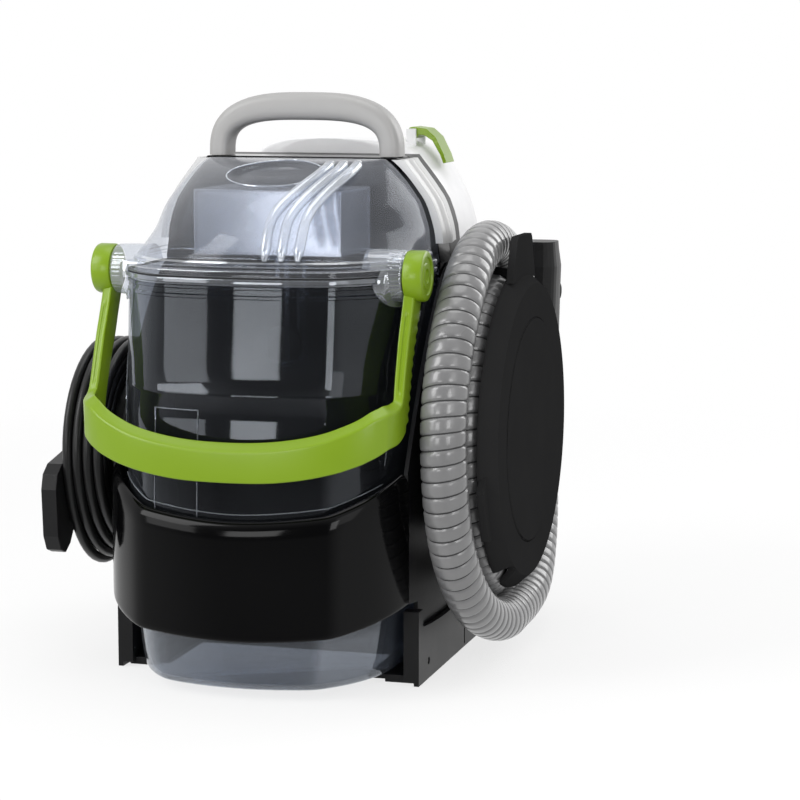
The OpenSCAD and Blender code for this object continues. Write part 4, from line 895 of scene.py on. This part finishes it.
class EXTRACTOR_OT_ears(bpy.types.Operator):
    """The two clear ears that the bail turns on: a root ring on the tank and a ribbed barrel"""

    bl_idname = "extractor.ears"
    bl_label = "Bail ears"

    def root(self, y, z):
        """The x that a barrel starts from: on the dome above the flange, on the flange or on the tank's wall"""
        half, front, shoulder = TANK_WALLS[-1][1:]
        if z > FLANGE_TOP + 0.3:
            return EAR_ROOT
        if z > TANK_TOP:
            return prow_x(half + 2.4, front + 2.4, shoulder, y) + 0.2
        return prow_x(half + 0.2, front + 0.2, shoulder, y)

    def execute(self, context):
        parts = []
        steps = 144
        for side in (-1, 1):
            rings = []
            for x, low, high in EAR_PROFILE:
                ring = []
                for i in range(steps):
                    a = 2 * pi * i / steps
                    r = low + (high - low) * ease(0.5 + 0.9 * sin(a))
                    if x > EAR_RIBS_FROM:
                        r -= EAR_RIB_DEPTH * (0.5 + 0.5 * cos(EAR_RIBS * a))
                    y, z = BAIL_Y + r * cos(a), BAIL_Z + r * sin(a)
                    # No two rings meet where the barrel starts on the tank
                    start = self.root(y, z) + (x - EAR_ROOT) * 0.08
                    ring.append((side * min(EAR_END, max(x, start)), y, z))
                rings.append(ring[::side])
            parts.append(loft(rings, False, False))
        piece("ear_barrels", joined(parts), ("ear_clear",), "dirty_tank", ("bail_ears",), crease=50)
        return {"FINISHED"}


class EXTRACTOR_OT_bail(bpy.types.Operator):
    """The lime bail: two straight legs, a bowed front strap, two turned bosses and finger scallops"""

    bl_idname = "extractor.bail"
    bl_label = "Bail handle"

    def section(self, corners, groove, scallop):
        """A round-cornered section through four corners, with a groove down its front face"""
        a, b, c, d = corners
        a = a + (b - a).normalized() * scallop * 1.2 + (d - a).normalized() * scallop * 0.4
        ring = []
        for before, corner, after in ((d, a, b), (a, b, c), (b, c, d), (c, d, a)):
            u, v = (before - corner).normalized() * CORNER_RADIUS, (after - corner).normalized() * CORNER_RADIUS
            for t in (0.0, 0.25, 0.5, 0.75, 1.0):
                ring.append(corner + u * (1 - t) ** 2 + v * t * t)
            if corner is b:
                inward = (d - c).normalized() * groove
                for share, depth in ((0.36, 0.0), (0.44, 1.0), (0.56, 1.0), (0.64, 0.0)):
                    ring.append(b.lerp(c, share) + inward * depth)
            else:
                ring.append(corner.lerp(after, 0.5))
        return ring

    def plan(self, x):
        """The outer plan of the front strap"""
        return -BAIL_BOW_Y - (BAIL_FRONT - BAIL_BOW_Y) * (1 - (x / BAIL_BOW_HALF) ** 2.5) ** 0.4

    def rows(self):
        """The four long edges from the boss down a leg and along the strap to its middle"""
        rows = [[Vector(p) for p in row] for row in BAIL_LEG]
        for x, low, ridge in BAIL_STRAP:
            y = self.plan(x)
            near = max(x - 1, 0)
            slope = (self.plan(x + 1) - self.plan(near)) / (x + 1 - near) if x else 0.0
            inward = Vector((-slope, 1, 0)).normalized() * BAIL_THICK
            inward.x = -abs(inward.x)
            rows.append([Vector((x, y, low)), Vector((x, y, ridge)),
                         Vector((x, y, ridge + STRAP_LIFT[1])) + inward,
                         Vector((x, y, low + STRAP_LIFT[0])) + inward])
        return rows

    def execute(self, context):
        rows = self.rows()
        spans = len(rows) - 1
        # One row on beyond each end, across the middle from the last but one
        around = [rows[0], *rows, mirrored(rows[-2])]
        rings = []
        fine = 8
        for i in range(spans):
            for k in range(fine if i < spans - 1 else fine + 1):
                corners = [glide(*(row[j] for row in around[i:i + 4]), k / fine) for j in range(4)]
                rear, front = corners[0].z, corners[1].z
                groove = scallop = 0.0
                if i < SCALLOP_SPANS and SCALLOP_LOW < rear < SCALLOP_HIGH:
                    scallop = SCALLOP_DEPTH * (1 - cos(2 * pi * (SCALLOP_HIGH - rear) / SCALLOP_PITCH))
                if i < GROOVE_SPANS:
                    groove = GROOVE_DEPTH * ease((GROOVE_HIGH - front) / 5) * ease((front - GROOVE_LOW) / 8)
                rings.append(self.section(corners, groove, scallop))
        strap = loft(rings + [mirrored(ring) for ring in reversed(rings[:-1])])
        bosses = [lathe_x(BAIL_BOSS, BAIL_Y, BAIL_Z, side) for side in (-1, 1)]
        piece("bail_strap", joined([strap] + bosses), ("lime",), "bail", ("bail",), crease=35)
        return {"FINISHED"}


# ---- band, handle and trim


class EXTRACTOR_OT_band(bpy.types.Operator):
    """The gloss black band across the front, with its rolled upper edge"""

    bl_idname = "extractor.band"
    bl_label = "Front band"

    def execute(self, context):
        prow = BAND_HALF, BAND_FRONT, BAND_SHOULDER
        ends = prow_x(*prow, BAND_END)
        line = prow_line(*prow, BAND_END - 1.5, side=18, across=36, soften=6)
        line = [(-ends, BAND_END)] + line + [(ends, BAND_END)]
        last = len(line) - 1
        rings = []
        for i, (x, y) in enumerate(line):
            low, high = band_edge(BAND_LOWER, y), band_edge(BAND_UPPER, y)
            if i in (0, last):
                way = Vector((0, 1 if i else -1, 0))
            else:
                way = (Vector((*line[i + 1], 0)) - Vector((*line[i - 1], 0))).normalized()
            out = Vector((way.y, -way.x, 0))
            # Out from the face, and height: up the back, over the rolled edge and down the face
            shape = [(-1.1, low), (-3, low + 0.2), (-3, high - 9), (-3.2, high - 6), (-3.9, high - 4),
                     (-5.2, high - 2.7), (-BAND_THICK, high - 2.2), (-BAND_THICK, high - 0.3), (-5.7, high),
                     (-4.8, high - 0.25), (-3.4, high - 1.1), (-2.2, high - 2.5), (-1.2, high - 4.4),
                     (-0.5, high - 6.6), (-0.1, high - 9.5), (0, high - 13), (0, (low + high) / 2),
                     (0, low + 4), (-0.1, low + 1.6), (-0.5, low + 0.5)]
            rings.append([Vector((x, y, z)) + out * u for u, z in shape])
        piece("band_skin", loft(rings), ("gloss_black",), "body", ("front_band",), crease=40)
        return {"FINISHED"}


# The carry handle: half its width, its rise over the tower, its bar's height at the foot and at the top,
# its depth, its face's y and its foot's height
HANDLE_HALF, HANDLE_RISE, HANDLE_LEG, HANDLE_BAR = 68.5, 43.0, 15.0, 19.0
HANDLE_DEPTH, HANDLE_Y, HANDLE_FOOT = 22.0, 10.0, 343.3
# How square the bar's section is: 1 would be an ellipse
HANDLE_SQUARE = 0.62
# The groove between its front and rear mouldings: behind the bar's middle, half its width, its depth
SEAM_BEHIND, SEAM_HALF, SEAM_DEPTH = 1.5, 0.9, 0.5
# The rails: from and to which height, and the y of their face and of their rear end
RAIL_LOW, RAIL_HIGH, RAIL_FACE, RAIL_REAR = 286, 341.6, 5.5, 46.0
# Their wall over the tower, the raised part on it, and how far the lip stands off the dome
RAIL_WALL, RAIL_RAISED, RAIL_LIP = 2.4, 5.0, 1.6


class EXTRACTOR_OT_handle(bpy.types.Operator):
    """The grey carry handle and the two rails over the tower's shoulders"""

    bl_idname = "extractor.handle"
    bl_label = "Carry handle and rails"

    def grip(self):
        mid_half, mid_rise = HANDLE_HALF - HANDLE_LEG / 2, HANDLE_RISE - HANDLE_BAR / 2
        rings = []
        steps = 72
        for i in range(steps + 1):
            a = pi * i / steps
            c, s = cos(a), max(sin(a), 0.0)
            x, z = -mid_half * powered(c, 2 / 3), mid_rise * s ** (2 / 3)
            n = Vector((-powered(c, 4 / 3) / mid_half, 0, s ** (4 / 3) / mid_rise)).normalized()
            half_bar = HANDLE_LEG / 2 + (HANDLE_BAR - HANDLE_LEG) / 2 * s * s
            ring = []
            for cb, sb in circle(36):
                w = powered(cb, HANDLE_SQUARE) * half_bar
                v = powered(sb, HANDLE_SQUARE) * HANDLE_DEPTH / 2
                seam = SEAM_DEPTH if abs(v - SEAM_BEHIND) < SEAM_HALF else 0.0
                w -= copysign(seam, w)
                y = HANDLE_Y + HANDLE_DEPTH / 2 + v
                ring.append((x + n.x * w, y, HANDLE_FOOT + max(0.0, z + n.z * w)))
            rings.append(ring)
        return loft(rings)

    def rail(self, side):
        """One rail: a lip over the dome's edge, a raised face, a groove and a flank over the shoulder"""
        rings = []
        for i in range(49):
            z = RAIL_LOW + (RAIL_HIGH - RAIL_LOW) * sin(radians(90 * i / 48))
            inner = between(TOWER_SIDES, z)[0] + 0.05
            outer = inner + RAIL_WALL
            wide = outer + RAIL_RAISED
            lip = between(DOME_SIDES, z)[0] + RAIL_LIP
            shape = [(lip, RAIL_FACE), (lip + 2.0, RAIL_FACE), (outer + 1.6, RAIL_FACE), (wide - 2.6, 7.2),
                     (wide - 2.4, 12.4), (wide - 1.2, 13.4), (wide - 0.3, 14.4), (wide, 15.6),
                     (wide - 0.7, 20.0), (wide - 1.9, 20.6), (wide - 2.0, 21.6), (wide - 1.0, 22.2),
                     (outer + 1.4, 36), (outer + 0.2, RAIL_REAR - 1.2), (outer - 0.6, RAIL_REAR),
                     (inner, RAIL_REAR), (inner, RAIL_FACE + 0.4), (lip, RAIL_FACE + 0.4)]
            rings.append([(side * x, y, z) for x, y in shape][::side])
        return loft(rings)

    def execute(self, context):
        piece("handle_grip", self.grip(), ("silver_grey",), "body",
              ("carry_handle", "handle_back"), crease=50)
        piece("shoulder_rails", joined([self.rail(-1), self.rail(1)]), ("trim_grey",), "body",
              ("trim_arch",), crease=30)
        return {"FINISHED"}


# ---- clean water tank

# Height, half width, rear face
CLEAN_WALLS = [
    (160.3, 83.0, 193.0), (166.3, 88.0, 198.0), (240.0, 88.0, 198.0), (280.0, 86.0, 197.0),
    (306.0, 80.0, 194.0), (328.0, 70.0, 188.0), (342.0, 60.0, 181.0), (348.0, 51.0, 176.0),
    (351.0, 41.0, 170.0), (352.5, 28.0, 163.0), (353.0, 14.0, 152.0)]
CLEAN_HEIGHTS = (160.3, 161, 162.4, 164.2, 166.3, 180, 200, 220, 235, 236, 238, 239, 255, 268, 280, 290, 300,
                 310, 318, 326, 332, 338, 342, 345, 347, 349, 350.5, 351.5, 352.2, 352.7, 353)
CLEAN_GROOVE = (236, 238)
CLEAN_FRONT = 68.5
CLEAN_POWER = 4.5
# The filler neck's rings, as (radius, height), and its y
NECK = ((20.4, 149.6), (23, 149.6), (23, 160.3))
NECK_Y = 133.25
# The latch: the middle between its two ears, and its pin's x, z and half length
LATCH_Y, LATCH_X, LATCH_Z, LATCH_PIN = 122, 50, 356, 12
# Its ears: x and z from and to, how far each is from the middle, and half their thickness
EAR_X, EAR_Z, EAR_OFF, EAR_HALF = (46, 53), (345, 359), 12.6, 1.2


class EXTRACTOR_OT_clean_tank(bpy.types.Operator):
    """The pale clean water tank with its filler neck and latch ears"""

    bl_idname = "extractor.clean_tank"
    bl_label = "Clean water tank"

    def execute(self, context):
        rings = [at(round_box(r, r, NECK_Y, 2), z) for r, z in NECK]
        for z in CLEAN_HEIGHTS:
            half, back = between(CLEAN_WALLS, z)
            # A shallow groove round the middle
            inset = 0.7 if z in CLEAN_GROOVE else 0.0
            middle = (CLEAN_FRONT + back) / 2
            rings.append(at(round_box(half - inset, back - middle - inset, middle, CLEAN_POWER), z))
        parts = [loft(rings, low_cap=False)]
        for y in (LATCH_Y - EAR_OFF, LATCH_Y + EAR_OFF):
            front, rear = y - EAR_HALF, y + EAR_HALF
            ear = [(EAR_X[0], front), (EAR_X[1], front), (EAR_X[1], rear), (EAR_X[0], rear)]
            parts.append(loft([at(ear, z) for z in EAR_Z]))
        pin = [Vector((LATCH_X, LATCH_Y - LATCH_PIN, LATCH_Z)), Vector((LATCH_X, LATCH_Y + LATCH_PIN, LATCH_Z))]
        parts.append(tube(pin, [2.0, 2.0], 20, (0, 0, 1)))
        piece("clean_tank_wall", joined(parts), ("milky",), "clean_tank", ("clean_tank",), crease=40)
        return {"FINISHED"}


# ---- hose

RACK_Y = 22.0
RACK_Z = 160.0
# The wound part of the hose as (degrees about the rack, radius, x)
HOSE_TURNS = [
    (94, 91, 134), (101, 91, 134), (115, 91, 134), (132, 91, 134), (150, 91, 135), (170, 91, 136),
    (190, 91, 137), (210, 92, 138), (228, 93, 138), (245, 95, 136), (262, 99, 132), (280, 106, 126),
    (298, 113, 123), (316, 119, 122), (334, 124, 122), (352, 127, 123), (370, 127, 124), (390, 126, 125),
    (410, 125, 126), (430, 125, 127), (450, 126, 128), (470, 125, 129), (490, 124, 130), (510, 124, 130),
    (530, 124, 130), (550, 124, 131), (568, 125, 132), (585, 126, 134), (602, 127, 136), (618, 129, 138),
    (630, 132, 140)]
# From the rack up to the hand grip, as (x, y, z)
HOSE_TAIL = [(140, 48, 28), (140, 74, 29), (140, 99, 34), (138, 122, 43), (135, 143, 56), (132, 161, 73),
             (129, 175, 93), (127, 183, 114), (126, 185, 134), (126, 185, 144)]
# How much of each end lies inside its cuff, in whole millimetres
HOSE_IN_PORT = 12
HOSE_IN_GRIP = 14
# Stations over one pitch and how far below the crown each lies, after two in the groove: flank, crown, flank
RIB_STATIONS = [(0.16, -0.35), (0.24, -0.05), (0.40, 0.0), (0.70, 0.0), (0.86, -0.05), (0.95, -0.35)]


class EXTRACTOR_OT_hose(bpy.types.Operator):
    """The ribbed hose: one spiral rib from the port, round the rack and up to the hand grip"""

    bl_idname = "extractor.hose"
    bl_label = "Hose"

    def line(self):
        """The hose's middle line, with a little inside the cuff at each end"""
        route = [(x, RACK_Y + r * cos(radians(a)), RACK_Z + r * sin(radians(a))) for a, r, x in HOSE_TURNS]
        line = spline(route + HOSE_TAIL, 1.0)
        head = (line[0] - line[2]).normalized()
        tail = (line[-1] - line[-3]).normalized()
        return ([line[0] + head * i for i in range(HOSE_IN_PORT, 0, -1)] + line
                + [line[-1] + tail * (i + 1) for i in range(HOSE_IN_GRIP)])

    def execute(self, context):
        sizes = context.scene.extractor_sizes
        radius = sizes.hose_diameter / MM / 2
        groove = sizes.hose_groove / MM
        line = self.line()
        run = run_along(line)
        # A whole number of ribs between the two ends
        ribs = round(run[-1] / (sizes.hose_pitch / MM)) - 1
        pitch = run[-1] / (ribs + 1)
        stations = [(0.0, -groove), (0.10, -groove)] + RIB_STATIONS
        per = len(stations)
        sides = 40

        def spot(share):
            """The place and the way of the line after a number of pitches"""
            p, i = spot_along(line, run, min(share * pitch, run[-1]))
            return p, (line[min(i + 2, len(line) - 1)] - line[max(i - 1, 0)]).normalized()

        points = []
        centres = []
        for i in range(ribs):
            for share, drop in stations:
                centres.append(tuple(spot(i + share + 0.5)[0] * MM))
                for k, (c, s) in enumerate(circle(sides)):
                    p, ahead = spot(i + share + k / sides)
                    u = Vector(ACROSS).cross(ahead).normalized()
                    v = ahead.cross(u)
                    points.append(p + (radius + drop) * (c * u + s * v))
        faces, marks = [], []
        for i in range(ribs * per - 1):
            for k in range(sides):
                a = i * sides + k
                # The rib runs on by one pitch each turn
                b = a + 1 if k + 1 < sides else (i + per) * sides
                if b + sides < len(points):
                    faces.append((a, b, b + sides, a + sides))
                    # Groove faces take the near-black finish: painted shade between the ribs
                    marks.append(int(i % per == 0))
        thing = piece("hose_ribbed", (points, faces), ("hose_rib", "hose_groove"), "body",
                      ("hose",), crease=60, marks=marks)
        length = run_along([Vector(p) for p in centres])[-1]
        return {"FINISHED"}


# ---- mains lead

REEL_Y = -20.0
REEL_Z = 147.0
REEL_TURNS = 11.76
# x of each column of turns and radius of each layer, and the order in which they are wound
COLUMNS = (-111.65, -118.95, -126.25, -133.55)
LAYERS = (68.8, 61.1, 53.4)
WOUND = [(COLUMNS[column], LAYERS[layer]) for column, layer in (
    (0, 0), (0, 1), (0, 2), (1, 2), (1, 1), (1, 0), (2, 0), (2, 1), (2, 2), (3, 2), (3, 1), (3, 0))]
# Where the lead comes to the drum, as x and radius
REEL_START = (-112, 68.0)
LEAD_ROUTE = [(-112, y, 79) for y in (68, 60, 50, 40, 30, 14, 4, -8)]
TAIL_ROUTE = [(-133, 47.4, 134), (-133, 48, 128), (-133, 49, 114), (-133, 50, 100), (-133, 50, 90)]
# How far the outermost column hangs slack at the foot of the drum
SLACK = 14
# The share of a turn at which it steps to the next one, and of the first turn in which it comes to the drum
STEP_FROM, COME_IN = 0.7, 0.25


class EXTRACTOR_OT_lead(bpy.types.Operator):
    """The mains lead: out of its strain relief, wound on the drum and down to its plug"""

    bl_idname = "extractor.lead"
    bl_label = "Mains lead"

    def wound(self, u):
        """x and radius of the winding after u turns: inward, outward, inward, outward over four columns"""
        i = min(int(u), len(WOUND) - 1)
        x, r = WOUND[i]
        if i < len(WOUND) - 1:
            t = ease((u - i - STEP_FROM) / (1 - STEP_FROM))
            x += (WOUND[i + 1][0] - x) * t
            r += (WOUND[i + 1][1] - r) * t
        if u < COME_IN:
            x = REEL_START[0] + (x - REEL_START[0]) * ease(u / COME_IN)
            r = REEL_START[1] + (r - REEL_START[1]) * ease(u / COME_IN)
        foot = max(0.0, cos(2 * pi * u))
        r += SLACK * (COLUMNS[0] - min(x, COLUMNS[0])) / (COLUMNS[0] - COLUMNS[-1]) * foot ** 2.6
        # Hand-wound unevenness
        return x + 0.18 * sin(5.9 * u), r + 0.22 * sin(7.3 * u + 1.0) * sin(2.1 * u)

    def execute(self, context):
        sizes = context.scene.extractor_sizes
        route = list(LEAD_ROUTE)
        steps = round(REEL_TURNS * 32)
        for i in range(1, steps + 1):
            u = REEL_TURNS * i / steps
            x, r = self.wound(u)
            a = radians(270 - 360 * u)
            route.append((x, REEL_Y + r * cos(a), REEL_Z + r * sin(a)))
        line = spline(route + TAIL_ROUTE, 8.0)
        curve = bpy.data.curves.new("mains_lead", "CURVE")
        curve.dimensions = "3D"
        curve.bevel_depth = sizes.lead_diameter / 2
        curve.bevel_resolution = 5
        curve.use_fill_caps = True
        path = curve.splines.new("POLY")
        path.points.add(len(line) - 1)
        for point, p in zip(path.points, line):
            point.co = (*(p * MM), 1.0)
        curve.materials.append(bpy.data.materials["finish_lead_black"])
        thing = put("mains_lead", curve)
        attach(thing, "body")
        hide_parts("cord_coil", "cord_lead", "cord_tail")
        length = run_along(line)[-1] * MM
        return {"FINISHED"}


# ---- camera, floor and light, in metres

CAMERA_PLACE = (0.54516, -1.64917, 0.42155)
# Degrees down and round to the right
CAMERA_DOWN, CAMERA_ROUND = 8.027, 15.993
CAMERA_LENS = 114.93

# Name, place, height aimed at over the machine's middle, (width, height), watts
LAMPS = [
    ("key", (-1.25, -1.25, 1.35), 0.2, (0.9, 1.1), 19),
    ("fill", (1.5, -1.1, 0.9), 0.2, (0.7, 1.2), 3),
    ("top", (0.1, 0.1, 1.7), 0.2, (1.0, 1.0), 6.5),
    ("back", (0.9, 1.3, 0.9), 0.2, (0.8, 1.0), 8),
    # Low panels that the smoke tank mirrors as upright bands
    ("panel_front", (-0.28, -1.6, 0.365), 0.365, (0.5, 0.53), 4.8),
    ("panel_left", (-0.985, -1.26, 0.395), 0.395, (0.5, 0.59), 2.6),
    ("panel_right", (1.03, -1.226, 0.5), 0.5, (0.42, 0.8), 5.5),
]
FLOOR_RINGS = (0.001, 0.2, 0.4, 0.6, 0.8, 1.0, 1.2, 1.4)
# A little below the feet, so that the two never lie in one plane
FLOOR_Z = -0.0004
# How far out it is gone, how fast it fades to there, and how much of it shows
FLOOR_END, FLOOR_FADE, FLOOR_SHOW = 1.25, 1.4, 0.25


class EXTRACTOR_OT_stage(bpy.types.Operator):
    """The camera, the pale floor, the lamps and the white surround"""

    bl_idname = "extractor.stage"
    bl_label = "Stage"

    def camera(self, scene):
        camera = bpy.data.cameras.new("camera")
        camera.lens = CAMERA_LENS
        camera.sensor_width = 36.0
        thing = put("camera", camera)
        thing.location = CAMERA_PLACE
        thing.rotation_euler = Euler((radians(90 - CAMERA_DOWN), 0, radians(CAMERA_ROUND)))
        scene.camera = thing

    def lamp(self, name, place, aim, size, power):
        light = bpy.data.lights.new(name, "AREA")
        light.shape = "RECTANGLE"
        light.size, light.size_y = size
        light.energy = power
        thing = put(name, light)
        thing.location = place
        thing.rotation_euler = (Vector((0, 0, aim)) - Vector(place)).to_track_quat("-Z", "Y").to_euler()

    def surround(self, scene):
        """White to the camera; to the lit surfaces a grey room; in reflections dim behind the camera"""
        world = bpy.data.worlds.new("surround")
        scene.world = world
        world.use_nodes = True
        f = Finish(world.node_tree, "ShaderNodeOutputWorld")
        rays = f.add("LightPath")
        way = f.add("SeparateXYZ", Vector=f.add("TexCoord").pick("Generated"))
        behind = ((way.pick("Y") + 0.9) * 2.2).clamped()
        room = f.add("Background", Color=(0.5, 0.5, 0.5, 1.0), Strength=1.0)
        white = f.add("Background", Color=(1.0, 1.0, 1.0, 1.0), Strength=1.0)
        mirror = f.add("Background", Color=f.mix(behind, (0.12, 0.12, 0.12), (1.0, 1.0, 1.0)), Strength=1.0)
        seen = rays.pick("Is Camera Ray").most(rays.pick("Is Transmission Ray"))
        soft = f.add("MixShader", _0=rays.pick("Is Glossy Ray"), _1=room, _2=mirror)
        f.show(f.add("MixShader", _0=seen, _1=soft, _2=white))

    def floor(self):
        """A floor disc that fades into the white surround"""
        points, faces = loft([[(r * c, r * s, FLOOR_Z) for c, s in circle(64)] for r in FLOOR_RINGS],
                             high_cap=False)
        mesh = bpy.data.meshes.new("floor")
        mesh.from_pydata(points, [], faces)
        f = new_finish("floor_white")
        way = f.add("SeparateXYZ", Vector=f.place())
        x, y = way.pick("X"), way.pick("Y")
        near = ((FLOOR_END - (x * x + y * y) ** 0.5) * FLOOR_FADE).clamped()
        solid = f.add(
            "BsdfPrincipled", Base_Color=f.mix(f.noise(0.01), (0.93, 0.93, 0.93), (0.95, 0.95, 0.95)),
            Roughness=0.9, Specular_IOR_Level=0.0)
        pane = f.add("BsdfTransparent", Color=(1.0, 1.0, 1.0, 1.0))
        f.show(f.add("MixShader", _0=near * FLOOR_SHOW, _1=pane, _2=solid))
        mesh.materials.append(bpy.data.materials["finish_floor_white"])
        put("floor", mesh)

    def execute(self, context):
        self.camera(context.scene)
        context.scene.view_settings.view_transform = "Standard"
        for lamp in LAMPS:
            self.lamp(*lamp)
        self.surround(context.scene)
        self.floor()
        return {"FINISHED"}


# ---- panel and run

OPERATORS = (
    EXTRACTOR_OT_finishes, EXTRACTOR_OT_stage, EXTRACTOR_OT_hose, EXTRACTOR_OT_lead, EXTRACTOR_OT_kept_forms,
    EXTRACTOR_OT_tower, EXTRACTOR_OT_dirty_tank, EXTRACTOR_OT_lid, EXTRACTOR_OT_ears, EXTRACTOR_OT_bail,
    EXTRACTOR_OT_band, EXTRACTOR_OT_handle, EXTRACTOR_OT_clean_tank)


class EXTRACTOR_PT_panel(bpy.types.Panel):
    """Sizes, colours and steps of the spot extractor"""

    bl_idname = "EXTRACTOR_PT_panel"
    bl_label = "Spot extractor"
    bl_space_type = "VIEW_3D"
    bl_region_type = "UI"
    bl_category = "Extractor"

    def draw(self, context):
        layout = self.layout
        for group in (context.scene.extractor_sizes, context.scene.extractor_colours):
            column = layout.column()
            for name in group.__annotations__:
                column.prop(group, name)
        for operator in OPERATORS:
            layout.operator(operator.bl_idname)


CLASSES = (ExtractorSizes, ExtractorColours) + OPERATORS + (EXTRACTOR_PT_panel,)


def register():
    for item in CLASSES:
        bpy.utils.register_class(item)
    bpy.types.Scene.extractor_sizes = bpy.props.PointerProperty(type=ExtractorSizes)
    bpy.types.Scene.extractor_colours = bpy.props.PointerProperty(type=ExtractorColours)


def unregister():
    del bpy.types.Scene.extractor_colours
    del bpy.types.Scene.extractor_sizes
    for item in reversed(CLASSES):
        bpy.utils.unregister_class(item)


def main():
    register()
    for operator in OPERATORS:
        group, name = operator.bl_idname.split(".")
        getattr(getattr(bpy.ops, group), name)()
    bpy.context.view_layer.update()


if __name__ == "__main__":
    main()
